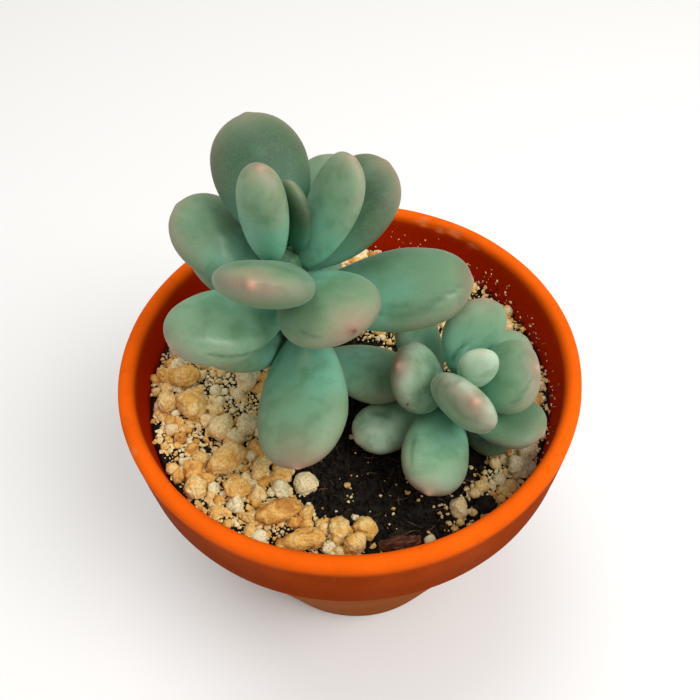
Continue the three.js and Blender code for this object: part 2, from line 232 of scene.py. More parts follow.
# ---------------------------------------------------------------- material helpers
class Shader:
    """Builds one node material, a few lines a layer."""

    def __init__(self, name):
        self.material = bpy.data.materials.new(name)
        self.material.use_nodes = True
        self.nodes = self.material.node_tree.nodes
        self.links = self.material.node_tree.links
        self.surface = self.nodes["Principled BSDF"]
        self.coordinates = self.nodes.new("ShaderNodeTexCoord").outputs["Object"]

    def set(self, **numbers):
        for key, value in numbers.items():
            self.surface.inputs[key.replace("_", " ")].default_value = value

    def link(self, source, node, socket):
        self.links.new(source, node.inputs[socket])

    def stretched(self, scale):
        node = self.nodes.new("ShaderNodeMapping")
        node.inputs["Scale"].default_value = scale
        self.link(self.coordinates, node, "Vector")
        return node.outputs["Vector"]

    def noise(self, size, detail=3.0, roughness=0.5, vector=None, distortion=0.0):
        """Noise with features of the given size in metres."""
        node = self.nodes.new("ShaderNodeTexNoise")
        node.inputs["Scale"].default_value = 1.0 / size
        node.inputs["Detail"].default_value = detail
        node.inputs["Roughness"].default_value = roughness
        node.inputs["Distortion"].default_value = distortion
        self.link(vector or self.coordinates, node, "Vector")
        return node.outputs["Fac"]

    def cells(self, size, feature="F1", vector=None):
        node = self.nodes.new("ShaderNodeTexVoronoi")
        node.feature = feature
        node.inputs["Scale"].default_value = 1.0 / size
        self.link(vector or self.coordinates, node, "Vector")
        return node.outputs["Distance"]

    def height(self):
        node = self.nodes.new("ShaderNodeSeparateXYZ")
        self.link(self.coordinates, node, 0)
        return node.outputs["Z"]

    def attribute(self, name):
        node = self.nodes.new("ShaderNodeAttribute")
        node.attribute_name = name
        return node.outputs["Fac"]

    def math(self, operation, a, b=0.0, clamp=False):
        node = self.nodes.new("ShaderNodeMath")
        node.operation = operation
        node.use_clamp = clamp
        for socket, value in ((0, a), (1, b)):
            if isinstance(value, (int, float)):
                node.inputs[socket].default_value = value
            else:
                self.link(value, node, socket)
        return node.outputs[0]

    def band(self, value, low, high, to_low=0.0, to_high=1.0):
        node = self.nodes.new("ShaderNodeMapRange")
        node.interpolation_type = "SMOOTHSTEP"
        for socket, number in zip((1, 2, 3, 4), (low, high, to_low, to_high)):
            node.inputs[socket].default_value = number
        self.link(value, node, 0)
        return node.outputs[0]

    def mix(self, factor, a, b, blend="MIX"):
        node = self.nodes.new("ShaderNodeMix")
        node.data_type = "RGBA"
        node.blend_type = blend
        for socket, value in ((0, factor), (6, a), (7, b)):
            if isinstance(value, (int, float)):
                node.inputs[socket].default_value = value
            elif hasattr(value, "node"):
                self.link(value, node, socket)
            else:
                node.inputs[socket].default_value = (*value, 1.0)
        return node.outputs[2]

    def bump(self, height, strength, distance):
        node = self.nodes.new("ShaderNodeBump")
        node.inputs["Strength"].default_value = strength
        node.inputs["Distance"].default_value = distance
        self.link(height, node, "Height")
        previous = self.surface.inputs["Normal"].links
        if previous:
            self.link(previous[0].from_socket, node, "Normal")
        self.link(node.outputs["Normal"], self.surface, "Normal")

    def finish(self, colour=None, roughness=None):
        if colour is not None:
            self.link(colour, self.surface, "Base Color")
        if roughness is not None:
            self.link(roughness, self.surface, "Roughness")
        return self.material


def once(name, build):
    return bpy.data.materials.get(name) or build(name)


def clay_material(name):
    pot = settings("pot")
    s = Shader(name)
    height = s.height()
    bands = s.noise(2.2 * MM, 2.0, 0.6, s.stretched((0.03, 0.03, 1.0)))
    drift = s.noise(26 * MM, 4.0, 0.55)
    grain = s.noise(0.9 * MM, 4.0, 0.7)
    speck = s.band(s.noise(1.6 * MM, 2.0, 0.5), 0.66, 0.72)
    damp = s.math("MULTIPLY", s.attribute("inside"), s.band(drift, 0.2, 0.6, 0.85, 1.0))
    # light: the clay as it looks when lit, painted as a highlight on the lip and also used for the paler grain
    # flecks
    light = tuple(min(1.0, c * share) for c, share in zip(pot.clay, (2.75, 2.95, 3.4)))
    dark = tuple(c * share for c, share in zip(pot.clay, (0.70, 0.70, 0.9)))
    dusty = (0.25, 0.066, 0.010)
    colour = s.mix(s.band(drift, 0.36, 0.66, 0.0, 0.7), tuple(pot.clay), dark)
    low = s.band(s.math("ADD", height, s.math("MULTIPLY", drift, 14 * MM)),
                 RIM_Z - 15 * MM, RIM_Z - 4 * MM, 0.85, 0.0)
    colour = s.mix(low, colour, dark)
    colour = s.mix(s.band(height, RIM_Z - 26 * MM, RIM_Z - 32 * MM), colour, dusty)
    colour = s.mix(s.math("MULTIPLY", s.band(bands, 0.45, 0.75), 0.4), colour, dark)
    # Painted highlight along the rounded lip, where the light catches it.
    colour = s.mix(s.math("MULTIPLY", s.attribute("lip"), s.band(drift, 0.3, 0.7, 1.0, 0.75)), colour, light)
    colour = s.mix(s.math("MULTIPLY", s.band(grain, 0.5, 0.8), 0.16), colour, light)
    worn = s.noise(7 * MM, 4.0, 0.65, s.stretched((1.0, 1.0, 0.6)), 0.8)
    colour = s.mix(s.math("MULTIPLY", s.band(worn, 0.55, 0.72), 0.16), colour, dark)
    colour = s.mix(s.math("MULTIPLY", speck, 0.35), colour, (0.30, 0.10, 0.03))
    colour = s.mix(damp, colour, tuple(pot.damp_clay))
    # Chips show paler broken clay, painted lighter still as a highlight.
    colour = s.mix(s.math("MULTIPLY", s.attribute("chip"), 0.55), colour, (0.82, 0.23, 0.070))
    s.bump(s.noise(0.55 * MM, 3.0, 0.7), 0.35, 0.12 * MM)
    s.bump(bands, 0.25, 0.18 * MM)
    s.set(Specular_IOR_Level=0.01)
    return s.finish(colour, s.band(drift, 0.3, 0.7, 0.6, 0.8))


def leaf_material(name):
    leaf = settings("leaf")
    s = Shader(name)
    cloud = s.noise(19 * MM, 3.0, 0.5)
    mottle = s.noise(6.0 * MM, 4.0, 0.55)
    powder = s.noise(0.45 * MM, 2.0, 0.6)
    along = s.attribute("along")
    drift = s.math("ADD", along, s.math("MULTIPLY", s.math("SUBTRACT", cloud, 0.5), 0.8))
    colour = s.mix(s.band(drift, 0.12, 0.55), tuple(leaf.teal), tuple(leaf.sage))
    colour = s.mix(s.math("MULTIPLY", s.band(cloud, 0.46, 0.70), 0.34), colour, tuple(leaf.flesh))
    # Darker green: partly the leaf's own flesh, partly painted shade on leaves that lie in the shade of others.
    colour = s.mix(s.attribute("deep"), colour, tuple(c * 0.40 for c in leaf.flesh))
    mauve = s.math("MULTIPLY", s.attribute("rim"), s.band(cloud, 0.25, 0.7, 0.6, 1.0), True)
    colour = s.mix(mauve, colour, tuple(leaf.mauve))
    # Wax bloom, partly painted light: laid thicker on the upper side and on leaves painted lighter.
    wax = s.math("MULTIPLY", s.band(mottle, 0.36, 0.70, 0.35, 0.85), s.attribute("wax"), True)
    colour = s.mix(wax, colour, tuple(leaf.wax))
    # Paler leaves: partly the leaf's own paler colour, partly painted light.
    colour = s.mix(s.math("MULTIPLY", s.attribute("pale"), s.band(mottle, 0.3, 0.7, 0.85, 1.0)),
                   colour, tuple(min(1.0, c * 1.12) for c in leaf.wax))
    colour = s.mix(s.math("MULTIPLY", s.band(mottle, 0.52, 0.36), 0.28), colour, tuple(leaf.flesh))
    # Dark green where rubs wear the wax off, and painted shade along the folds of creases.
    colour = s.mix(s.math("MULTIPLY", s.attribute("rub"), 0.85, True), colour, (0.030, 0.105, 0.045))
    colour = s.mix(s.attribute("halo"), colour, tuple(c * 0.55 for c in leaf.blush))
    colour = s.mix(s.attribute("blush"), colour, tuple(leaf.blush))
    colour = s.mix(s.attribute("scar"), colour, (0.075, 0.028, 0.015))
    colour = s.mix(s.math("MULTIPLY", s.band(powder, 0.5, 0.75), 0.12), colour, (0.42, 0.48, 0.40))
    s.bump(powder, 0.08, 0.05 * MM)
    s.bump(mottle, 0.12, 0.22 * MM)
    s.set(Specular_IOR_Level=0.26, Subsurface_Weight=0.06, Subsurface_Scale=2.0 * MM,
          Sheen_Weight=0.22, Sheen_Roughness=0.14)
    s.surface.inputs["Subsurface Radius"].default_value = (0.6, 1.0, 0.55)
    s.surface.inputs["Sheen Tint"].default_value = (0.95, 0.82, 0.78, 1.0)
    return s.finish(colour, s.band(mottle, 0.35, 0.7, 0.44, 0.58))


def stem_material(name):
    s = Shader(name)
    cloud = s.noise(4 * MM, 4.0, 0.6)
    fine = s.noise(0.8 * MM, 3.0, 0.6)
    colour = s.mix(s.band(cloud, 0.35, 0.65), (0.045, 0.125, 0.058), (0.085, 0.190, 0.100))
    colour = s.mix(s.math("MULTIPLY", s.band(fine, 0.5, 0.8), 0.5), colour, (0.25, 0.17, 0.09))
    s.bump(fine, 0.3, 0.25 * MM)
    s.set(Specular_IOR_Level=0.35)
    return s.finish(colour, s.band(cloud, 0.3, 0.7, 0.55, 0.75))


def peat_material(name):
    bed = settings("bed")
    s = Shader(name)
    clod = s.noise(2.6 * MM, 5.0, 0.65)
    fine = s.noise(0.5 * MM, 4.0, 0.7)
    thread = s.noise(0.6 * MM, 2.0, 0.5, s.stretched((1.0, 0.12, 1.0)), 1.2)
    pale = tuple(c * 4.5 + 0.004 for c in bed.peat)
    colour = s.mix(s.band(clod, 0.35, 0.75), tuple(bed.peat), pale)
    colour = s.mix(s.math("MULTIPLY", s.band(thread, 0.68, 0.74), 0.7), colour, (0.09, 0.045, 0.018))
    colour = s.mix(s.band(fine, 0.72, 0.78), colour, (0.16, 0.11, 0.06))
    s.bump(clod, 0.9, 0.8 * MM)
    s.bump(fine, 0.8, 0.25 * MM)
    s.set(Specular_IOR_Level=0.12)
    return s.finish(colour, s.band(fine, 0.3, 0.7, 0.95, 0.6))


def fibre_material(name):
    s = Shader(name)
    colour = s.mix(s.band(s.noise(3 * MM, 2.0), 0.35, 0.65), (0.050, 0.022, 0.010), (0.20, 0.105, 0.045))
    s.set(Specular_IOR_Level=0.2, Roughness=0.8)
    return s.finish(colour)


def pumice_material(name):
    bed = settings("bed")
    s = Shader(name)
    stain = s.noise(4.5 * MM, 4.0, 0.62, None, 0.6)
    fine = s.noise(0.7 * MM, 4.0, 0.7)
    pores = s.cells(1.1 * MM)
    tone = s.attribute("tone")
    white = tuple(min(1.0, c * share) for c, share in zip(bed.pumice, (1.02, 1.22, 1.75)))
    colour = s.mix(s.band(tone, 0.05, 0.45), white, tuple(bed.pumice))
    spread = s.math("MULTIPLY", s.math("SUBTRACT", stain, 0.5), 1.9)
    rust = s.math("ADD", s.math("MULTIPLY", tone, 0.85), spread)
    colour = s.mix(s.band(rust, 0.20, 0.70), colour, tuple(bed.ochre))
    colour = s.mix(s.band(rust, 0.62, 1.10), colour, (0.52, 0.190, 0.035))
    # Fine darker grain in the low parts of the bump, partly the stone's own and partly painted shade.
    colour = s.mix(s.math("MULTIPLY", s.band(fine, 0.52, 0.36), 0.55), colour, (0.40, 0.22, 0.075))
    # Painted shade in the pits of the pores.
    colour = s.mix(s.math("MULTIPLY", s.band(pores, 0.18, 0.06), 0.8), colour, (0.20, 0.09, 0.030))
    s.bump(fine, 0.9, 0.40 * MM)
    s.bump(pores, 0.7, 0.30 * MM)
    s.set(Specular_IOR_Level=0.28)
    return s.finish(colour, s.band(fine, 0.3, 0.7, 0.9, 0.72))


def bark_material(name):
    s = Shader(name)
    grain = s.noise(0.8 * MM, 4.0, 0.6, s.stretched((0.14, 1.0, 1.0)), 0.4)
    cloud = s.noise(3 * MM, 3.0, 0.6)
    colour = s.mix(s.band(grain, 0.35, 0.7), (0.050, 0.014, 0.006), (0.20, 0.065, 0.022))
    colour = s.mix(s.math("MULTIPLY", s.band(cloud, 0.55, 0.8), 0.5), colour, (0.030, 0.012, 0.008))
    s.bump(grain, 0.9, 0.4 * MM)
    s.set(Specular_IOR_Level=0.3)
    return s.finish(colour, s.band(grain, 0.3, 0.7, 0.85, 0.6))


def floor_material(name):
    s = Shader(name)
    tint = tuple(settings("stage").floor)
    colour = s.mix(s.noise(300 * MM, 2.0), tint, tuple(c * 0.99 for c in tint))
    s.set(Specular_IOR_Level=0.2, Roughness=0.9)
    return s.finish(colour)


# ---------------------------------------------------------------- the pot
def pot_outline():
    """The CAD pot's outline as a loop of (radius, height), from the mesh on one side."""
    bm = merged(POT)
    on_side = {v for v in bm.verts if v.co.x > 0 and abs(v.co.y) < 1e-6}
    start = min(on_side, key=lambda v: (round(v.co.z, 6), v.co.x))
    loop, current, last = [start], start, None
    while True:
        around = [e.other_vert(current) for e in current.link_edges]
        near = [v for v in around if v in on_side and v is not last and v is not current]
        if last is None:
            near.sort(key=lambda v: v.co.z - v.co.x)
        ahead = [v for v in near if v not in loop]
        if not ahead:
            break
        last, current = current, ahead[0]
        loop.append(current)
    outline = [(v.co.x, v.co.z) for v in loop]
    bm.free()
    return outline


def eased(outline, radius, step):
    """Rounds every corner a little and puts points no further apart than a step."""
    corners = []
    count = len(outline)
    for i in range(count):
        before, here, after = (Vector(outline[(i + k) % count]) for k in (-1, 0, 1))
        reach = min(radius, 0.4 * (before - here).length, 0.4 * (after - here).length)
        a = here + (before - here).normalized() * reach
        b = here + (after - here).normalized() * reach
        corners += [a, (a + b + 2 * here) / 4, b]
    points = []
    for here, after in zip(corners, corners[1:] + corners[:1]):
        parts = max(1, math.ceil((after - here).length / step))
        points += [here.lerp(after, k / parts) for k in range(parts)]
    return points


# Knocks on the pot: degrees round it, millimetres below the rim, millimetres in from its widest, size.
CHIPS = ((64, 1.6, 5.4, 2.6), (58, 2.4, 5.6, 2.0), (53, 1.8, 5.2, 2.4), (80, 3.4, 5.6, 1.8),
         (46, 3.0, 5.6, 1.6), (98, 4.2, 5.6, 1.4), (-152, 1.0, 1.4, 1.2), (-28, 28.4, 1.2, 1.4),
         (-118, 28.3, 1.2, 1.1))


def wall_radii():
    """Inner and outer radius of the pot's wall for each millimetre of height."""
    tree = tree_of(POT)
    radii = []
    for z in range(round(RIM_Z / MM)):
        height = Vector((0, 0, (z + 0.5) * MM))
        inner = tree.ray_cast(height, Vector((1, 0, 0)))[0]
        outer = tree.ray_cast(height + Vector((1, 0, 0)), Vector((-1, 0, 0)))[0]
        radii.append((inner.x if inner and inner.x < outer.x - MM else 0.0, outer.x))
    return radii


def build_pot():
    """Spins the pot's outline and gives it the small faults of a thrown and knocked pot."""
    pot = settings("pot")
    outline = eased(pot_outline(), 0.8 * MM, 2.6 * MM)
    radii = wall_radii()
    count = pot.segments
    chips = []
    for angle, drop, inset, size in CHIPS:
        turn = math.radians(angle)
        radius = RIM_R - inset * MM
        spot = Vector((radius * math.cos(turn), radius * math.sin(turn), RIM_Z - drop * MM))
        chips.append((spot, size * MM))
    points, inside, lip, chip_and_highlight = [], [], [], []
    for radius, height in outline:
        inner, outer = radii[min(int(height / MM), len(radii) - 1)]
        within = radius < (inner + outer) / 2
        damp = smoothstep(1.2 * MM, 6 * MM, RIM_Z - height) if within else 0.0
        # rim: nearness to the lip, which gets a painted highlight in the clay material
        rim = smoothstep(6.5 * MM, 2.0 * MM, RIM_Z - height)
        for k in range(count):
            turn = 2 * math.pi * k / count
            way = Vector((math.cos(turn), math.sin(turn), 0.0))
            place = way * radius + Vector((0, 0, height))
            wander = rough(place, 34 * MM, 2) * pot.unevenness
            wander += 0.05 * MM * noise.noise(Vector((0, 0, height / (1.3 * MM))))
            dent = 0.0
            for spot, size in chips:
                away = (place - spot).length
                edge = size * (1 + 0.45 * noise.noise(place / (0.9 * MM)))
                if away < edge:
                    dent = max(dent, 1 - (away / edge) ** 2)
            if height > 0.3 * MM:
                place += way * wander
            place += (way if within else -way) * dent * 0.7 * MM
            points.append(place)
            inside.append(damp)
            lip.append(rim * (1 - damp))
            chip_and_highlight.append(min(1.0, dent * 2))
    faces = []
    rings = len(outline)
    for ring in range(rings):
        after = (ring + 1) % rings
        for k in range(count):
            beside = (k + 1) % count
            faces.append((ring * count + k, ring * count + beside,
                          after * count + beside, after * count + k))
    piece = add_piece("pot", points, faces)
    outward(piece)
    paint(piece, "inside", inside)
    paint(piece, "lip", lip)
    paint(piece, "chip", chip_and_highlight)
    piece.data.materials.append(once("fired_clay", clay_material))
    return mount(piece, "terracotta", POT)


def outward(piece):
    bm = bmesh.new()
    bm.from_mesh(piece.data)
    bmesh.ops.recalc_face_normals(bm, faces=bm.faces)
    if bm.calc_volume(signed=True) < 0:
        bmesh.ops.reverse_faces(bm, faces=bm.faces)
    bm.to_mesh(piece.data)
    bm.free()


# ---------------------------------------------------------------- leaves
class LeafBones:
    """Neck, tip, middle line, half-widths and half-thicknesses of a leaf, read off its CAD node."""

    def __init__(self, node):
        bm = merged(node)
        poles = sorted(bm.verts, key=lambda v: -len(v.link_edges))[:2]

        def ring_round(pole):
            return sum(((e.other_vert(pole)).co for e in pole.link_edges), Vector()) / len(
                pole.link_edges)

        poles.sort(key=lambda v: (ring_round(v) - v.co).length)
        neck, tip = poles
        seen, ring, rings = {neck}, [neck], []
        while ring:
            ahead = []
            for vert in ring:
                for edge in vert.link_edges:
                    other = edge.other_vert(vert)
                    if other not in seen:
                        seen.add(other)
                        ahead.append(other)
            if ahead:
                rings.append([v.co.copy() for v in ahead])
            ring = ahead
        rings = rings[:-1]
        self.neck, self.tip = neck.co.copy(), tip.co.copy()
        bm.free()
        middles = [sum(r, Vector()) / len(r) for r in rings]
        widest = max(range(len(rings)), key=lambda i: max((p - middles[i]).length for p in rings[i]))
        spread = np.array([p - middles[widest] for p in rings[widest]])
        axes = np.linalg.svd(spread, full_matrices=False)[2]
        across, upper = Vector(axes[0]), Vector(axes[1])
        out = self.tip - self.neck
        out.z = 0.0
        if out.length > 1e-6:
            out.normalize()
        if upper.dot(Vector((0, 0, 1)) - out) < 0:
            upper.negate()
        along = (middles[-1] - middles[0]).normalized()
        across = upper.cross(along).normalized()
        self.across, self.upper = across, upper
        self.line = middles + [self.tip]
        self.width = [max(abs((p - m).dot(across)) for p in r) for r, m in zip(rings, middles)] + [0.0]
        self.thick = [max(abs((p - m).dot(upper)) for p in r) for r, m in zip(rings, middles)] + [0.0]
        self.length = (self.tip - self.neck).length

    def at(self, t, full=1.0):
        """Middle point, half-width and half-thickness at a share of the way to the tip."""
        last = len(self.line) - 1
        place = min(max(t, 0.0), 1.0) * last
        i = min(int(place), last - 1)
        u = place - i

        def pick(values, k, flip):
            if k < 0:
                return values[0] * 2 - values[-k]
            if k > last:
                mirror = values[2 * last - k]
                return mirror * -1 if flip else mirror
            return values[k]

        def curve(values, flip):
            a, b, c, d = (pick(values, i + k, flip) for k in (-1, 0, 1, 2))
            return 0.5 * ((b * 2) + (c - a) * u + (a * 2 - b * 5 + c * 4 - d) * u * u
                          + (b * 3 - a - c * 3 + d) * u ** 3)

        width, thick = (max(values) * (max(0.0, curve(values, True)) / max(values)) ** full
                        for values in (self.width, self.thick))
        return curve(self.line, False), width, thick


# What sets each leaf apart: mauve of its rim, wax bloom (also painted light, thicker on the upper side),
# blush at its point, height of the point and spread of the blush, how pale its green is (partly painted light),
# how deep its green is (partly painted shade), how drab its outer half, how full its ends are,
# how burnt its point is, and its marks. A mark is a stroke: kind, share along and degrees round
# where it starts and where it stops, half its width in degrees, depth in millimetres.
# Crease marks carry painted shade, and the pale streak marks a painted highlight.
PLAIN = dict(mauve=0.80, wax=0.16, blush=0.35, point=0.7, spread=1.0, pale=0.0, deep=0.0,
             drab=0.0, full=0.94, burn=0.0, marks=())
LEAF_LOOKS = {
    "main_leaf_01": dict(mauve=1.15, wax=0.05, deep=1.0, full=1.05,
                         marks=(("rub", 0.42, 64, 0.47, 69, 7, 0.15), ("rub", 0.30, 104, 0.38, 119, 8, 0.2))),
    "main_leaf_02": dict(mauve=0.85, wax=0.24, blush=0.45, full=0.72, point=0.5),
    "main_leaf_03": dict(mauve=0.30, wax=0.0, blush=0.10, deep=1.0),
    "main_leaf_04": dict(mauve=0.85, wax=0.26, blush=0.45, full=0.72, point=0.5),
    "main_leaf_05": dict(mauve=1.05, wax=0.0, blush=0.55, deep=1.0, point=0.5),
    "main_leaf_06": dict(mauve=0.95, deep=0.35, point=0.5),
    "main_leaf_07": dict(mauve=1.0, wax=0.18, deep=0.30, point=0.5,
                         marks=(("dust", 0.29, 58, 0.36, 73, 6, 0.0),)),
    "main_leaf_09": dict(mauve=0.62, drab=0.25,
                         marks=(("crease", 0.34, -8, 0.62, 24, 4, 0.40),
                                ("dust", 0.48, 38, 0.76, 76, 5, -0.1))),
    "main_leaf_11": dict(mauve=0.60, wax=0.10, blush=0.70, point=1.3, spread=1.1, full=0.78, deep=0.45),
    "main_leaf_12": dict(mauve=0.48, wax=0.06, blush=0.9, point=1.5, spread=1.4, burn=0.9, deep=0.30,
                         marks=(("rub", 0.61, 153, 0.66, 157, 4, 0.1), ("rub", 0.71, 162, 0.75, 166, 4, 0.1))),
    "main_leaf_13": dict(mauve=0.50, wax=0.12, blush=1.0, point=0.6, spread=1.9,
                         marks=(("dust", 0.18, 74, 0.21, 77, 9, 0.0),)),
    "main_leaf_14": dict(mauve=0.70, wax=0.02, blush=0.55, deep=0.45, drab=0.65, point=0.6,
                         marks=(("crease", 0.26, 139, 0.42, 132, 3.5, 0.40),
                                ("rub", 0.37, 149, 0.54, 141, 9, 0.10),
                                ("rub", 0.48, 142, 0.76, 117, 7, 0.30),
                                ("dust", 0.60, 138, 0.74, 126, 3, -0.1))),
    "offset_leaf_01": dict(mauve=0.65, wax=0.65, blush=0.9, full=0.85, point=1.1,
                           marks=(("scar", 0.49, 3, 0.57, 13, 3, 0.1),)),
    "offset_leaf_02": dict(mauve=0.70, drab=0.35,
                           marks=(("crease", 0.18, 36, 0.33, 62, 5, 0.40),
                                  ("dust", 0.20, 52, 0.32, 72, 4, -0.1))),
    "offset_leaf_03": dict(mauve=0.05, wax=0.4, blush=0.25, pale=0.80, full=0.85),
    "offset_leaf_04": dict(mauve=0.85, drab=0.40, blush=0.55, full=0.85, deep=0.1,
                           marks=(("rub", 0.48, 151, 0.84, 129, 5, 0.30),)),
    "offset_leaf_05": dict(mauve=0.95),
    "offset_leaf_06": dict(mauve=1.10, wax=0.85, blush=0.70, point=1.2, full=0.85),
    "offset_leaf_07": dict(mauve=0.85, wax=0.20, blush=0.8, point=1.0, drab=0.15,
                           marks=(("rub", 0.40, 139, 0.62, 141, 4, 0.10),)),
    "offset_leaf_08": dict(mauve=0.75, wax=0.0, deep=0.5, drab=0.5),
    "offset_leaf_09": dict(mauve=0.30, wax=0.0, deep=1.0),
    "offset_leaf_10": dict(mauve=0.45, wax=0.80, pale=0.2,
                           marks=(("dust", 0.50, 60, 0.62, 82, 12, 0.0), ("rub", 0.38, 92, 0.48, 112, 10, 0.1))),
}
LEAF_PAINTS = ("along", "deep", "rim", "wax", "pale", "halo", "blush", "rub", "scar")
LEAF_ROUND = 44
SQUARED = 0.92  # below 1 a leaf is a little squarer across than an ellipse
LEAF_STEPS = [i / 30 for i in range(28)] + [0.925, 0.94, 0.955, 0.967, 0.977, 0.985, 0.991, 0.996]


def build_leaf(node):
    """Grows one leaf: smooth flesh over the CAD leaf's bones, a point at the tip, and its marks."""
    bones = LeafBones(node)
    look = {**PLAIN, **LEAF_LOOKS.get(node, {})}
    height = settings("leaf").point * look["point"] * min(1.0, bones.length / (34 * MM))
    end = bones.at(1.0)[0]
    way = (end - bones.at(0.93)[0]).normalized() + (bones.tip - bones.neck).normalized()
    way.normalize()
    reach = 2.9 * MM
    number = LEAVES.index(node)
    shift = Vector((number * 37, number * 51, number * 29)) * MM
    points, paints = [], {key: [] for key in LEAF_PAINTS}

    def lay(t, bone, angle):
        middle, width, thick = bone
        side, up = (math.copysign(abs(part) ** SQUARED, part) for part in (math.cos(angle), math.sin(angle)))
        fullness = 0.94 if up > 0 else 1.0
        place = middle + bones.across * (width * side) + bones.upper * (thick * up * fullness)
        skin = bones.across * (side / max(width, 1e-5)) + bones.upper * (up / max(thick, 1e-5))
        skin.normalize()
        fade = smoothstep(0.0, 0.12, t)
        place += skin * fade * (0.28 * MM * rough(place + shift, 17 * MM, 2)
                                + 0.05 * MM * rough(place + shift, 4 * MM, 2))
        off = place - end
        away = (off - way * off.dot(way)).length if t > 0.6 else 1.0
        place += way * height * max(0.0, 1 - (away / reach) ** 2) ** 2.5
        worn = hurt = bloom_highlight_amount = 0.0
        for kind, start, from_angle, stop, to_angle, wide, depth in look["marks"]:
            near = min(max(t, start), stop)
            middle_angle = from_angle + (to_angle - from_angle) * (near - start) / (stop - start)
            turn = (math.degrees(angle) - middle_angle + 180) % 360 - 180
            turn += 2.5 * noise.noise(place / (5 * MM))
            amount = math.exp(-((t - near) / 0.035) ** 2 - (turn / wide) ** 2)
            place -= skin * depth * MM * amount
            if kind == "scar":
                hurt = max(hurt, smoothstep(0.2, 0.6, amount))
            elif kind == "dust":
                # Pale streak marks: partly wax bloom, partly a painted highlight.
                bloom_highlight_amount = max(bloom_highlight_amount, 0.7 * amount)
            else:
                # Rubs show the green under worn wax; creases are darkened along the fold as painted shade.
                worn = max(worn, (0.6 if kind == "rub" else 0.85) * amount)
        glow = math.exp(-(away / (1.2 * MM)) ** 2)
        halo = math.exp(-(off.length / (5.0 * MM * look["spread"])) ** 2)
        hurt = max(hurt, look["burn"] * math.exp(-(away / (1.3 * MM)) ** 2))
        edge = 0.85 * abs(side) ** 4 * smoothstep(0.15, 0.7, t)
        points.append(place)
        paints["along"].append(t)
        # Darker green, partly the leaf's own and partly painted shade, most in the middle of the leaf; drab
        # darkens the outer half.
        paints["deep"].append(max(look["deep"] * (0.45 + 0.55 * math.exp(-((t - 0.5) / 0.3) ** 2)),
                                  look["drab"] * smoothstep(0.55, 0.85, t)))
        paints["rim"].append(min(1.0, look["mauve"] * (
            edge + 0.70 * smoothstep(0.66, 1.0, t) + 0.15 * smoothstep(0.4, 0.85, t))))
        # Wax bloom, thicker on the upper side as painted light, plus the pale streaks of the highlight marks.
        paints["wax"].append(look["wax"] * (0.5 + 0.5 * smoothstep(-0.4, 0.6, up)) + bloom_highlight_amount)
        # Pale share of a leaf, partly painted light.
        paints["pale"].append(look["pale"])
        paints["halo"].append(min(1.0, look["blush"] * 0.70 * halo))
        paints["blush"].append(min(1.0, look["blush"] * 1.1 * glow))
        paints["rub"].append(worn)
        paints["scar"].append(hurt)

    lay(0.0, bones.at(0.0), 0.0)
    points[0] = bones.neck
    for t in LEAF_STEPS:
        bone = bones.at(t, look["full"])
        for k in range(LEAF_ROUND):
            lay(t, bone, 2 * math.pi * k / LEAF_ROUND)
    lay(1.0, bones.at(1.0), 0.0)
    points[-1] = end + way * height
    piece = add_piece("leaf_" + node.replace("_leaf", ""), points,
                      rings_to_faces(LEAF_ROUND, len(LEAF_STEPS)))
    for key, values in paints.items():
        paint(piece, key, values)
    piece.data.materials.append(once("waxy_leaf", leaf_material))
    kind = "young_leaf" if node == "offset_leaf_03" else node.split("_")[0] + "_leaf"
    return mount(piece, kind, node)


# ---------------------------------------------------------------- stems
def build_stem(node):
    """Rounds the CAD stem with its leaf seats into living tissue."""
    bm = merged(node)
    mesh = bpy.data.meshes.new(node)
    bm.to_mesh(mesh)
    bm.free()
    draft = bpy.data.objects.new("draft_" + node, mesh)
    bpy.context.scene.collection.objects.link(draft)
    remesh = draft.modifiers.new("remesh", "REMESH")
    remesh.mode = "VOXEL"
    remesh.voxel_size = 0.45 * MM
    smooth = draft.modifiers.new("smooth", "SMOOTH")
    smooth.iterations = 3
    smooth.factor = 0.5
    piece = plain_copy(draft, node.replace("_stem", "") + "_stalk")
    places = [v.co + v.normal * 0.22 * MM * rough(v.co, 2.6 * MM, 3) for v in piece.data.vertices]
    piece.data.vertices.foreach_set("co", np.array(places).ravel())
    piece.data.polygons.foreach_set("use_smooth", [True] * len(piece.data.polygons))
    piece.data.materials.clear()
    piece.data.materials.append(once("stem_skin", stem_material))
    return mount(piece, "stem", node)


def plain_copy(draft, name):
    """The draft with its modifiers worked into a plain mesh; the draft is thrown away."""
    graph = bpy.context.evaluated_depsgraph_get()
    mesh = bpy.data.meshes.new_from_object(draft.evaluated_get(graph))
    piece = bpy.data.objects.new(name, mesh)
    bpy.context.scene.collection.objects.link(piece)
    bpy.data.objects.remove(draft)
    return piece


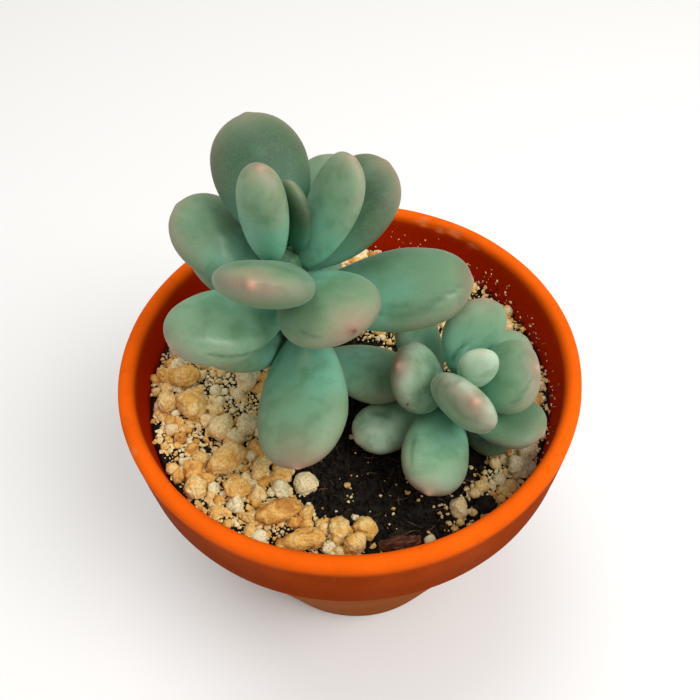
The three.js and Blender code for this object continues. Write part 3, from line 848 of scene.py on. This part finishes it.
# ---------------------------------------------------------------- soil
def bed_heights():
    """Height of the bed at any place: peat, raised where the gravel lies on it."""
    peat, dressing = tree_of(SOIL), tree_of(GRAVEL)
    top = Vector((0, 0, RIM_Z + 1))

    def read(tree, x, y):
        hit = tree.ray_cast(Vector((x, y, top.z)), Vector((0, 0, -1)))[0]
        return hit.z if hit else None

    cache = {}
    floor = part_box(SOIL)[1].z - 2.0 * MM

    def sample(i, j):
        key = (i, j)
        if key not in cache:
            x, y = i * 2 * MM, j * 2 * MM
            reach = math.hypot(x, y)
            if reach > RIM_R - 9.0 * MM:
                x, y = (v * (RIM_R - 9.0 * MM) / reach for v in (x, y))
            low = read(peat, x, y)
            low = low if low is not None and low > floor else floor + 1.2 * MM
            high = read(dressing, x, y)
            cover = 1.0 if high is not None and high > low else 0.0
            cache[key] = (low + cover * max(0.0, (high or low) - low - 2.0 * MM), cover)
        return cache[key]

    def bed(x, y):
        i, j = math.floor(x / (2 * MM)), math.floor(y / (2 * MM))
        height = cover = weight = 0.0
        for a in range(-1, 3):
            for b in range(-1, 3):
                share = max(0.0, 2 - math.hypot(x / (2 * MM) - i - a, y / (2 * MM) - j - b))
                h, c = sample(i + a, j + b)
                height += h * share
                cover += c * share
                weight += share
        return height / weight, cover / weight

    return bed


BED = {}


def bed_at(x, y):
    if "read" not in BED:
        BED["read"] = bed_heights()
    return BED["read"](x, y)


def inner_radius(z):
    """Radius of the pot's inner wall at a height."""
    if "wall" not in BED:
        BED["wall"] = wall_radii()
    return BED["wall"][int(z / MM)][0]


def build_soil():
    """Crumbly peat across the pot, with the plain body of soil below it."""
    bed = settings("bed")
    count, inner = 220, 84
    low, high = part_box(SOIL)
    points = [None]
    points[0] = Vector((0, 0, low.z))
    rings = 0
    lower = (12.0 * MM, 39.0 * MM)
    for radius, z in ((lower[0], low.z), (lower[1], low.z), (lower[1] + 1.2 * MM, low.z + 3 * MM),
                      (inner_radius(RIM_Z - 31 * MM) - 0.6 * MM, RIM_Z - 31 * MM)):
        for k in range(count):
            turn = 2 * math.pi * k / count
            points.append(Vector((radius * math.cos(turn), radius * math.sin(turn), z)))
        rings += 1
    edge = inner_radius(high.z + 2 * MM) - 0.35 * MM
    for ring in range(inner):
        radius = edge * (1 - ring / inner)
        for k in range(count):
            turn = 2 * math.pi * k / count
            x, y = radius * math.cos(turn), radius * math.sin(turn)
            z, _ = bed_at(x, y)
            place = Vector((x, y, z))
            lump = rough(place, 5.5 * MM, 4)
            crumb = abs(noise.noise(place / (1.7 * MM)))
            z += bed.crumble * (0.75 * lump + 0.55 * crumb)
            points.append(Vector((x, y, z)))
        rings += 1
    centre = bed_at(0, 0)[0]
    points.append(Vector((0, 0, centre)))
    piece = add_piece("peat", points, rings_to_faces(count, rings))
    piece.data.materials.append(once("damp_peat", peat_material))
    return mount(piece, "potting_soil", SOIL)


# ---------------------------------------------------------------- stones
STONE_TONES = [0.75, 0.55, 0.45, 0.30, 0.10, 0.62, 0.60, 0.50, 0.48, 0.18, 0.92, 0.82, 0.70, 0.62,
               0.25, 0.08]


def build_stone(node, material, slot, tone, lump, pit):
    """Roughens one CAD stone into a lumpy, pitted one."""
    bm = merged(node)
    for _ in range(3):
        bmesh.ops.subdivide_edges(bm, edges=bm.edges[:], cuts=1, use_grid_fill=True, smooth=1.0)
    bmesh.ops.triangulate(bm, faces=bm.faces[:])
    bm.normal_update()
    low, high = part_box(node)
    size = (high - low).length / 1.7
    moves = []
    for vert in bm.verts:
        place = vert.co
        push = lump * size * rough(place, size * 0.55, 3)
        push -= pit * MM * max(0.0, rough(place, 1.1 * MM, 3) - 0.15)
        push += 0.28 * MM * rough(place, 2.4 * MM, 2)
        push -= 0.10 * MM * abs(noise.noise(place / (0.55 * MM)))
        moves.append(vert.normal * push)
    for vert, move in zip(bm.verts, moves):
        vert.co += move
    mesh = bpy.data.meshes.new(node)
    bm.to_mesh(mesh)
    bm.free()
    mesh.polygons.foreach_set("use_smooth", [True] * len(mesh.polygons))
    piece = bpy.data.objects.new(node.replace("pumice_stone", "lump").replace("_chip", ""), mesh)
    bpy.context.scene.collection.objects.link(piece)
    paint(piece, "tone", [tone] * len(mesh.vertices))
    piece.data.materials.append(material)
    return mount(piece, slot, node)


# ---------------------------------------------------------------- scatter
def grain_shape(name, seed, corners, flatness, smooth):
    """A small broken grain about one metre across, to be scaled down when it is scattered."""
    dice = random.Random(seed)
    bm = bmesh.new()
    for k in range(corners):
        way = Vector([dice.gauss(0, 1) for _ in range(3)]).normalized()
        way *= dice.uniform(0.42, 0.55)
        bm.verts.new((way.x, way.y * dice.uniform(0.8, 1.0), way.z * flatness))
    bmesh.ops.convex_hull(bm, input=bm.verts)
    loose = [v for v in bm.verts if not v.link_faces]
    bmesh.ops.delete(bm, geom=loose, context="VERTS")
    mesh = bpy.data.meshes.new(name)
    bm.to_mesh(mesh)
    bm.free()
    mesh.polygons.foreach_set("use_smooth", [smooth] * len(mesh.polygons))
    return bpy.data.objects.new(name, mesh)


def lump_shape(name, seed, detail):
    """A broken, worn lump about one metre across: a ball cut by soft-edged flats."""
    dice = random.Random(seed)
    flats = []
    for _ in range(13):
        way = Vector([dice.gauss(0, 1) for _ in range(3)]).normalized()
        flats.append((way, dice.uniform(0.33, 0.50)))
    bm = bmesh.new()
    bmesh.ops.create_icosphere(bm, subdivisions=detail, radius=1.0)
    for vert in bm.verts:
        way = vert.co.normalized()
        cut = sum((max(0.0, way.dot(flat)) / height) ** 9 for flat, height in flats) + 1.6 ** 9
        bump = noise.noise(way * 2.6 + Vector((seed * 3.1, seed * 1.7, 0)))
        bump += 0.6 * noise.noise(way * 5.5 + Vector((0, seed * 2.3, seed)))
        bump += 0.35 * noise.noise(way * 11.0 + Vector((seed, 0, seed * 1.3))) * (detail > 2)
        vert.co = way * cut ** (-1 / 9) * (1 + 0.20 * bump)
        vert.co.z *= 0.85
    mesh = bpy.data.meshes.new(name)
    bm.to_mesh(mesh)
    bm.free()
    mesh.polygons.foreach_set("use_smooth", [True] * len(mesh.polygons))
    return bpy.data.objects.new(name, mesh)


def scatter_tree():
    """Geometry nodes that scatter shapes over a bed by its painted cover and make them real."""
    tree = bpy.data.node_groups.new("scatter_grains", "GeometryNodeTree")
    add = tree.interface.new_socket
    add("Geometry", in_out="INPUT", socket_type="NodeSocketGeometry")
    for label, kind, value in (("Shapes", "NodeSocketCollection", None),
                               ("Cover", "NodeSocketString", "cover"),
                               ("Spacing", "NodeSocketFloat", 0.002),
                               ("Density", "NodeSocketFloat", 1000.0),
                               ("Smallest", "NodeSocketFloat", 0.001),
                               ("Largest", "NodeSocketFloat", 0.003),
                               ("Lift", "NodeSocketFloat", 0.0),
                               ("Warmest", "NodeSocketFloat", 1.0),
                               ("Seed", "NodeSocketInt", 0),
                               ("Material", "NodeSocketMaterial", None)):
        socket = add(label, in_out="INPUT", socket_type=kind)
        if value is not None:
            socket.default_value = value
    add("Geometry", in_out="OUTPUT", socket_type="NodeSocketGeometry")
    nodes, link = tree.nodes, tree.links.new
    source = nodes.new("NodeGroupInput").outputs
    sink = nodes.new("NodeGroupOutput")

    def random_value(kind, low, high, offset):
        node = nodes.new("FunctionNodeRandomValue")
        node.data_type = kind
        index = {"FLOAT": (2, 3, 1), "FLOAT_VECTOR": (0, 1, 0), "INT": (4, 5, 2)}[kind]
        node.inputs[index[0]].default_value = low
        node.inputs[index[1]].default_value = high
        step = nodes.new("ShaderNodeMath")
        step.operation = "ADD"
        step.inputs[1].default_value = offset
        link(source["Seed"], step.inputs[0])
        link(step.outputs[0], node.inputs["Seed"])
        return node.outputs[index[2]]

    cover = nodes.new("GeometryNodeInputNamedAttribute")
    cover.data_type = "FLOAT"
    link(source["Cover"], cover.inputs["Name"])
    points = nodes.new("GeometryNodeDistributePointsOnFaces")
    points.distribute_method = "POISSON"
    link(source["Geometry"], points.inputs["Mesh"])
    link(source["Spacing"], points.inputs["Distance Min"])
    link(source["Density"], points.inputs["Density Max"])
    link(cover.outputs["Attribute"], points.inputs["Density Factor"])
    link(source["Seed"], points.inputs["Seed"])
    dice = random_value("FLOAT", 0.0, 1.0, 1)
    skew = nodes.new("ShaderNodeMath")
    skew.operation = "POWER"
    skew.inputs[1].default_value = 1.8
    link(dice, skew.inputs[0])
    size = nodes.new("ShaderNodeMapRange")
    link(skew.outputs[0], size.inputs["Value"])
    link(source["Smallest"], size.inputs["To Min"])
    link(source["Largest"], size.inputs["To Max"])
    up = nodes.new("ShaderNodeMath")
    up.operation = "MULTIPLY"
    link(size.outputs["Result"], up.inputs[0])
    link(source["Lift"], up.inputs[1])
    offset = nodes.new("ShaderNodeCombineXYZ")
    link(up.outputs[0], offset.inputs["Z"])
    raised = nodes.new("GeometryNodeSetPosition")
    link(points.outputs["Points"], raised.inputs["Geometry"])
    link(offset.outputs[0], raised.inputs["Offset"])
    shapes = nodes.new("GeometryNodeCollectionInfo")
    shapes.inputs["Separate Children"].default_value = True
    shapes.inputs["Reset Children"].default_value = True
    link(source["Shapes"], shapes.inputs["Collection"])
    place = nodes.new("GeometryNodeInstanceOnPoints")
    place.inputs["Pick Instance"].default_value = True
    link(raised.outputs["Geometry"], place.inputs["Points"])
    link(shapes.outputs[0], place.inputs["Instance"])
    link(random_value("INT", 0, 11, 2), place.inputs["Instance Index"])
    link(random_value("FLOAT_VECTOR", (-0.5, -0.5, 0.0), (0.5, 0.5, 6.283), 3), place.inputs["Rotation"])
    link(size.outputs["Result"], place.inputs["Scale"])
    tone = nodes.new("GeometryNodeStoreNamedAttribute")
    tone.domain = "INSTANCE"
    tone.data_type = "FLOAT"
    tone.inputs["Name"].default_value = "tone"
    link(place.outputs[0], tone.inputs["Geometry"])
    shade = random_value("FLOAT", 0.0, 1.0, 4)
    link(source["Warmest"], shade.node.inputs[3])
    warm = nodes.new("GeometryNodeInputNamedAttribute")
    warm.data_type = "FLOAT"
    warm.inputs["Name"].default_value = "warm"
    product = nodes.new("ShaderNodeMath")
    product.operation = "MULTIPLY"
    link(shade, product.inputs[0])
    link(warm.outputs["Attribute"], product.inputs[1])
    link(product.outputs[0], tone.inputs["Value"])
    grain = nodes.new("GeometryNodeStoreNamedAttribute")
    grain.domain = "INSTANCE"
    grain.data_type = "INT"
    grain.inputs["Name"].default_value = "grain"
    link(tone.outputs[0], grain.inputs["Geometry"])
    link(nodes.new("GeometryNodeInputIndex").outputs[0], grain.inputs["Value"])
    real = nodes.new("GeometryNodeRealizeInstances")
    link(grain.outputs[0], real.inputs[0])
    finish = nodes.new("GeometryNodeSetMaterial")
    link(real.outputs[0], finish.inputs["Geometry"])
    link(source["Material"], finish.inputs["Material"])
    link(finish.outputs[0], sink.inputs[0])
    return tree


def scatter(name, bed, shapes, material, **numbers):
    """Scatters shapes over a copy of the bed and returns them as one plain mesh."""
    tree = bpy.data.node_groups.get("scatter_grains") or scatter_tree()
    draft = bpy.data.objects.new("draft_" + name, bed.data)
    bpy.context.scene.collection.objects.link(draft)
    modifier = draft.modifiers.new("scatter", "NODES")
    modifier.node_group = tree
    values = {"Shapes": shapes, "Material": material, **numbers}
    for item in tree.interface.items_tree:
        if item.in_out == "INPUT" and item.name in values:
            modifier[item.identifier] = values[item.name]
    piece = plain_copy(draft, name)
    return piece


def shape_collection(name, objects):
    collection = bpy.data.collections.new(name)
    bpy.context.scene.collection.children.link(collection)
    for thing in objects:
        collection.objects.link(thing)
    return collection


def drop_collection(collection):
    for thing in list(collection.objects):
        bpy.data.objects.remove(thing)
    bpy.data.collections.remove(collection)


# The strip of pale gravel in front of the small rosette, end to end, and the coal beside it, in mm.
STRIP = ((33, -53), (64, -30))
COAL = (42.5, -51)


def cover_maps(x, y):
    """How thickly each size of grain lies at a place, from 0 to 1, how bare the peat is, and how
    golden the grains are."""
    reach = math.hypot(x, y)
    inward = min(1.0, 62 * MM / max(reach, MM)) if reach > 62 * MM else 1.0
    cover = bed_at(x * inward, y * inward)[1]
    left = smoothstep(18 * MM, -22 * MM, x + 0.25 * y)
    patch = rough((x, y, 0.0), 14 * MM, 2)
    fine_patch = rough((x, y, 0.05), 7 * MM, 3)
    clear = smoothstep(0.15, 0.9, cover)
    strewn = 0.16 * smoothstep(0.05, 0.7, fine_patch)
    here, start, end = Vector((x, y)), Vector(STRIP[0]) * MM, Vector(STRIP[1]) * MM
    share = (here - start).dot(end - start) / (end - start).length_squared
    off_strip = (here - start.lerp(end, min(1.0, max(0.0, share)))).length
    strip = math.exp(-(off_strip / (4.2 * MM)) ** 2)
    strip *= smoothstep(3.2 * MM, 5.5 * MM, (here - Vector(COAL) * MM).length)
    edge = smoothstep(58 * MM, 69 * MM, reach)
    beside_wall = strip * smoothstep(-0.8, 0.1, fine_patch) + 0.22 * edge * smoothstep(-0.1, 0.5, fine_patch)
    thin = math.exp(-((x + 45 * MM) ** 2 + (y + 1 * MM) ** 2) / (11 * MM) ** 2)
    coarse = clear * (0.35 + 0.65 * left) * smoothstep(-0.6, 0.0, patch + 0.25 * left) * (1 - thin)
    middling = clear * smoothstep(-0.55, 0.15, patch) * (1 - 0.8 * thin) + 0.4 * strewn + beside_wall
    small = clear * smoothstep(-0.7, 0.1, fine_patch + 0.2) + strewn + beside_wall
    fine = 0.95 * clear + 0.02 + strewn + beside_wall
    shares = (coarse * (reach < 68.2 * MM), middling * (reach < 70.2 * MM), small, fine)
    return tuple(min(1.0, amount) for amount in shares) + (1 - 0.75 * clear, 1 - 0.7 * max(strip, thin))


def build_cover():
    """A sheet over the bed that only guides the scatter."""
    step = 2.0 * MM
    span = int(74 * MM / step)
    index, points, faces, maps = {}, [], [], []
    for i in range(-span, span + 1):
        for j in range(-span, span + 1):
            x, y = i * step, j * step
            if math.hypot(x, y) < 72.2 * MM:
                index[i, j] = len(points)
                z, _ = bed_at(x, y)
                points.append((x, y, z + 0.5 * MM + 0.7 * MM * rough((x, y, z), 5.5 * MM, 3)))
                maps.append(cover_maps(x, y))
    for (i, j), at in index.items():
        corners = [(i + 1, j), (i + 1, j + 1), (i, j + 1)]
        if all(c in index for c in corners):
            faces.append((at, *(index[c] for c in corners)))
    sheet = add_piece("cover", points, faces)
    for k, name in enumerate(("coarse", "middling", "small", "fine", "bare", "warm")):
        paint(sheet, name, [m[k] for m in maps])
    return sheet


def clear_of_stones(piece, reach):
    """Takes out the grains that sit inside a large stone or a stem."""
    solids = [(tree_of(node), *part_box(node)) for node in BURIERS]
    mesh = piece.data
    places = np.empty(len(mesh.vertices) * 3)
    mesh.vertices.foreach_get("co", places)
    numbers = np.empty(len(mesh.vertices), dtype=np.int32)
    mesh.attributes["grain"].data.foreach_get("value", numbers)
    counts = np.maximum(np.bincount(numbers), 1)
    middles = np.stack([np.bincount(numbers, places[k::3]) / counts for k in range(3)], axis=1)
    gone = np.zeros(len(middles), dtype=bool)
    for tree, low, high in solids:
        near = np.all((middles > np.array(low) - reach) & (middles < np.array(high) + reach), axis=1)
        for grain in np.nonzero(near & ~gone)[0]:
            middle = Vector(middles[grain])
            spot, normal, _, away = tree.find_nearest(middle)
            gone[grain] = away < reach or (middle - spot).dot(normal) < 0
    bm = bmesh.new()
    bm.from_mesh(mesh)
    bm.verts.ensure_lookup_table()
    doomed = [bm.verts[i] for i in np.nonzero(gone[numbers])[0]]
    bmesh.ops.delete(bm, geom=doomed, context="VERTS")
    bm.to_mesh(mesh)
    bm.free()


def build_granules():
    """Pumice in four sizes over the bed."""
    bed = settings("bed")
    cover = build_cover()
    lumps = shape_collection("lumps", [lump_shape(f"nugget_{k:02d}", k, 4) for k in range(12)])
    small_lumps = shape_collection("nuts", [lump_shape(f"nut_{k:02d}", 20 + k, 2) for k in range(12)])
    grains = shape_collection("grains", [
        grain_shape(f"grain_{k:02d}", 40 + k, 15, 0.8, False) for k in range(12)])
    pumice, peat = once("pitted_pumice", pumice_material), once("damp_peat", peat_material)
    plan = (
        ("granules_coarse", lumps, "coarse", 4.7, 70000.0, 4.6, 9.4, 0.20, 1.2, 1.0, "pumice"),
        ("granules_middling", small_lumps, "middling", 2.35, 220000.0, 2.8, 5.6, 0.16, 0.5, 0.95, "gravel"),
        ("granules_small", grains, "small", 1.25, 700000.0, 1.5, 3.1, 0.25, 0.3, 0.75, "gravel"),
        ("granules_fine", grains, "fine", 0.85, 1000000.0, 0.6, 1.5, 0.4, 0.1, 0.55, "gravel"),
        ("peat_crumbs", grains, "bare", 1.0, 600000.0, 0.6, 3.0, 0.12, 0.1, 1.0, "potting_soil"),
    )
    for number, row in enumerate(plan):
        name, shapes, key, spacing, density, low, high, lift, reach, warmest, slot = row
        stuff = peat if key == "bare" else pumice
        piece = scatter(name, cover, shapes, stuff, Cover=key, Spacing=spacing * MM,
                        Density=density, Smallest=low * MM, Largest=high * MM, Lift=lift, Warmest=warmest,
                        Seed=bed.seed + 10 * number)
        clear_of_stones(piece, reach * MM)
        mount(piece, slot, *([GRAVEL] if number == 0 else []))
    bpy.data.objects.remove(cover)
    for collection in (lumps, small_lumps, grains):
        drop_collection(collection)


def build_litter():
    """Peat fibres and a lump of charcoal on the open soil, and grit and specks on the inner wall."""
    dice = random.Random(settings("bed").seed)
    points, faces = [], []
    for _ in range(230):
        for _ in range(60):
            x, y = dice.uniform(-60, 62) * MM, dice.uniform(-66, 40) * MM
            if math.hypot(x, y) < 68 * MM and bed_at(x, y)[1] < dice.uniform(0.0, 0.6):
                break
        turn, long = dice.uniform(0, math.tau), dice.uniform(2.0, 8.0) * MM
        bend, thin = dice.uniform(-1.6, 1.6), dice.uniform(0.06, 0.15) * MM
        z = bed_at(x, y)[0] + dice.uniform(0.6, 1.6) * MM
        first, steps = len(points), 6
        for step in range(steps + 1):
            heading = turn + bend * step / steps
            way = Vector((math.cos(heading), math.sin(heading), 0))
            side = Vector((-way.y, way.x, 0))
            rise = math.sin(step / steps * math.pi) * dice.uniform(0.0, 0.5) * MM
            width = thin * (1 - 0.6 * abs(2 * step / steps - 1))
            centre = Vector((x, y, z + rise))
            for k in range(4):
                a = k * math.pi / 2
                points.append(centre + side * width * math.cos(a) + Vector((0, 0, width * math.sin(a))))
            x, y = x + way.x * long / steps, y + way.y * long / steps
        for step in range(steps):
            for k in range(4):
                a, b = first + step * 4 + k, first + step * 4 + (k + 1) % 4
                faces.append((a, b, b + 4, a + 4))
        faces.append(tuple(first + k for k in (3, 2, 1, 0)))
        faces.append(tuple(first + steps * 4 + k for k in (0, 1, 2, 3)))
    fibres = add_piece("peat_fibres", points, faces)
    outward(fibres)
    fibres.data.materials.append(once("dry_fibre", fibre_material))
    mount(fibres, "potting_soil")

    shapes = [grain_shape(f"grit_{k}", 90 + k, 11, 0.9, False) for k in range(5)]
    pumice, peat = once("pitted_pumice", pumice_material), once("damp_peat", peat_material)
    for name, count, smallest, largest, stuff, slot in (
            ("wall_grit", 170, 0.50, 2.7, pumice, "gravel"),
            ("wall_specks", 200, 0.45, 1.7, peat, "potting_soil")):
        points, faces, tones = [], [], []
        for _ in range(count):
            near_soil = dice.random() ** 0.45
            turn = math.radians(dice.gauss(31, 12 + 26 * (1 - near_soil)) + dice.choice((0, 0, 0, 40, -45)))
            height = RIM_Z - (5.5 + 15.5 * near_soil) * MM
            radius = inner_radius(height) - 0.1 * MM
            size = (smallest + (largest - smallest) * dice.random() ** 2.4 * near_soil) * MM
            mesh = dice.choice(shapes).data
            spin = Matrix.Rotation(dice.uniform(0, math.tau), 3, Vector((dice.random(), 1, 0.3)))
            centre = Vector((radius * math.cos(turn), radius * math.sin(turn), height))
            first, tone = len(points), dice.random() * 0.45
            for vert in mesh.vertices:
                points.append(centre + spin @ (vert.co * size))
                tones.append(tone)
            faces += [tuple(first + v for v in face.vertices) for face in mesh.polygons]
        piece = add_piece(name, points, faces, False)
        paint(piece, "tone", tones)
        piece.data.materials.append(stuff)
        mount(piece, slot)

    shapes.append(lump_shape("coal", 5, 3))
    x, y = COAL[0] * MM, COAL[1] * MM
    middle, turned = Vector((x, y, bed_at(x, y)[0] + 1.8 * MM)), Matrix.Rotation(0.9, 3, "Z")
    points = [middle + turned @ (vert.co * Vector((9.0, 6.8, 6.0)) * MM) for vert in shapes[-1].data.vertices]
    coal = add_piece("coal_lump", points, [tuple(face.vertices) for face in shapes[-1].data.polygons])
    coal.data.materials.append(peat)
    mount(coal, "potting_soil")
    for shape in shapes:
        bpy.data.objects.remove(shape)


# ---------------------------------------------------------------- stage
def build_stage():
    """Pale floor, soft light from above, and the camera."""
    stage = settings("stage")
    size = 20.0
    floor = add_piece("floor", [(-size, -size, 0), (size, -size, 0), (size, size, 0),
                                (-size, size, 0)], [(0, 1, 2, 3)], False)
    floor.data.materials.append(once("pale_floor", floor_material))
    world = bpy.data.worlds.new("soft_room")
    bpy.context.scene.world = world
    world.use_nodes = True
    bpy.context.scene.view_settings.view_transform = "Standard"
    world.node_tree.nodes["Background"].inputs["Color"].default_value = (1.0, 0.985, 0.96, 1)
    world.node_tree.nodes["Background"].inputs["Strength"].default_value = stage.fill
    aim = (0.0, 0.0, 0.12)
    lamps = (("key", (0.75, -0.55, 1.25), aim, 0.9, stage.key),
             ("overhead", (-0.15, 0.35, 1.6), aim, 0.9, stage.key * 0.5))
    for name, place, aim, width, power in lamps:
        light = bpy.data.lights.new(name, "AREA")
        light.shape = "DISK"
        light.size = width
        light.energy = power
        lamp = bpy.data.objects.new(name, light)
        lamp.location = place
        way = Vector(aim) - Vector(place)
        lamp.rotation_euler = way.to_track_quat("-Z", "Y").to_euler()
        bpy.context.scene.collection.objects.link(lamp)
    e, d = stage.elevation, stage.distance
    place = Vector((0, -d * math.cos(e), d * math.sin(e)))
    ahead = -place.normalized()
    right = Vector((1, 0, 0))
    up = right.cross(ahead)
    pan, tilt = math.radians(0.12), math.radians(0.02)
    ahead = (ahead * math.cos(pan) * math.cos(tilt) + right * math.sin(pan) * math.cos(tilt)
             + up * math.sin(tilt))
    side = ahead.cross(Vector((0, 0, 1))).normalized()
    over = side.cross(ahead)
    side = side * math.cos(stage.roll) + over * math.sin(stage.roll)
    over = side.cross(ahead)
    data = bpy.data.cameras.new("camera")
    data.lens = stage.lens
    data.sensor_width = 36.0
    data.clip_start, data.clip_end = 0.01, 20.0
    camera = bpy.data.objects.new("camera", data)
    spin = Matrix((side, over, -ahead)).transposed()
    camera.matrix_world = Matrix.Translation(place + Vector((0, 0, RIM_Z))) @ spin.to_4x4()
    bpy.context.scene.collection.objects.link(camera)
    bpy.context.scene.camera = camera


# ---------------------------------------------------------------- operators
class SUCCULENT_OT_pot(bpy.types.Operator):
    """Build the clay flowerpot"""
    bl_idname = "succulent.pot"
    bl_label = "Flowerpot"

    def execute(self, context):
        build_pot()
        return {"FINISHED"}


class SUCCULENT_OT_stems(bpy.types.Operator):
    """Build the two stems"""
    bl_idname = "succulent.stems"
    bl_label = "Stems"

    def execute(self, context):
        build_stem("main_stem")
        build_stem("offset_stem")
        return {"FINISHED"}


class SUCCULENT_OT_leaves(bpy.types.Operator):
    """Grow every leaf"""
    bl_idname = "succulent.leaves"
    bl_label = "Leaves"

    def execute(self, context):
        for node in LEAVES:
            build_leaf(node)
        return {"FINISHED"}


class SUCCULENT_OT_soil(bpy.types.Operator):
    """Fill the pot with peat"""
    bl_idname = "succulent.soil"
    bl_label = "Soil"

    def execute(self, context):
        build_soil()
        return {"FINISHED"}


class SUCCULENT_OT_stones(bpy.types.Operator):
    """Shape the largest stones and the bark chip"""
    bl_idname = "succulent.stones"
    bl_label = "Stones"

    def execute(self, context):
        pumice = once("pitted_pumice", pumice_material)
        for node, tone in zip(STONES, STONE_TONES):
            build_stone(node, pumice, "pumice", tone, 0.09, 0.6)
        build_stone("bark_chip", once("weathered_bark", bark_material), "bark", 0.5, 0.11, 0.7)
        return {"FINISHED"}


class SUCCULENT_OT_granules(bpy.types.Operator):
    """Scatter the pumice granules"""
    bl_idname = "succulent.granules"
    bl_label = "Granules"

    def execute(self, context):
        build_granules()
        return {"FINISHED"}


class SUCCULENT_OT_litter(bpy.types.Operator):
    """Add peat fibres, the charcoal, and grit and specks on the wall"""
    bl_idname = "succulent.litter"
    bl_label = "Litter"

    def execute(self, context):
        build_litter()
        return {"FINISHED"}


class SUCCULENT_OT_stage(bpy.types.Operator):
    """Set the floor, the lights and the camera"""
    bl_idname = "succulent.stage"
    bl_label = "Stage"

    def execute(self, context):
        build_stage()
        return {"FINISHED"}


OPERATORS = (SUCCULENT_OT_pot, SUCCULENT_OT_stems, SUCCULENT_OT_leaves, SUCCULENT_OT_soil,
             SUCCULENT_OT_stones, SUCCULENT_OT_granules, SUCCULENT_OT_litter, SUCCULENT_OT_stage)
GROUPS = {"pot": PotSettings, "leaf": LeafSettings, "bed": BedSettings, "stage": StageSettings}


class SUCCULENT_PT_panel(bpy.types.Panel):
    """Lists the builders"""
    bl_idname = "SUCCULENT_PT_panel"
    bl_label = "Potted Succulent"
    bl_space_type = "VIEW_3D"
    bl_region_type = "UI"
    bl_category = "Succulent"

    def draw(self, context):
        for kind, group in GROUPS.items():
            box = self.layout.box()
            box.label(text=kind.capitalize())
            for key in group.__annotations__:
                box.prop(settings(kind), key)
        for operator in OPERATORS:
            self.layout.operator(operator.bl_idname)


def register():
    for cls in (*GROUPS.values(), *OPERATORS, SUCCULENT_PT_panel):
        bpy.utils.register_class(cls)
    for kind, group in GROUPS.items():
        setattr(bpy.types.Scene, "succulent_" + kind, bpy.props.PointerProperty(type=group))


def unregister():
    for kind in GROUPS:
        delattr(bpy.types.Scene, "succulent_" + kind)
    for cls in reversed((*GROUPS.values(), *OPERATORS, SUCCULENT_PT_panel)):
        bpy.utils.unregister_class(cls)


def main():
    register()
    bpy.ops.succulent.stage()
    bpy.ops.succulent.pot()
    bpy.ops.succulent.stems()
    bpy.ops.succulent.leaves()
    bpy.ops.succulent.soil()
    bpy.ops.succulent.stones()
    bpy.ops.succulent.granules()
    bpy.ops.succulent.litter()


if __name__ == "__main__":
    main()
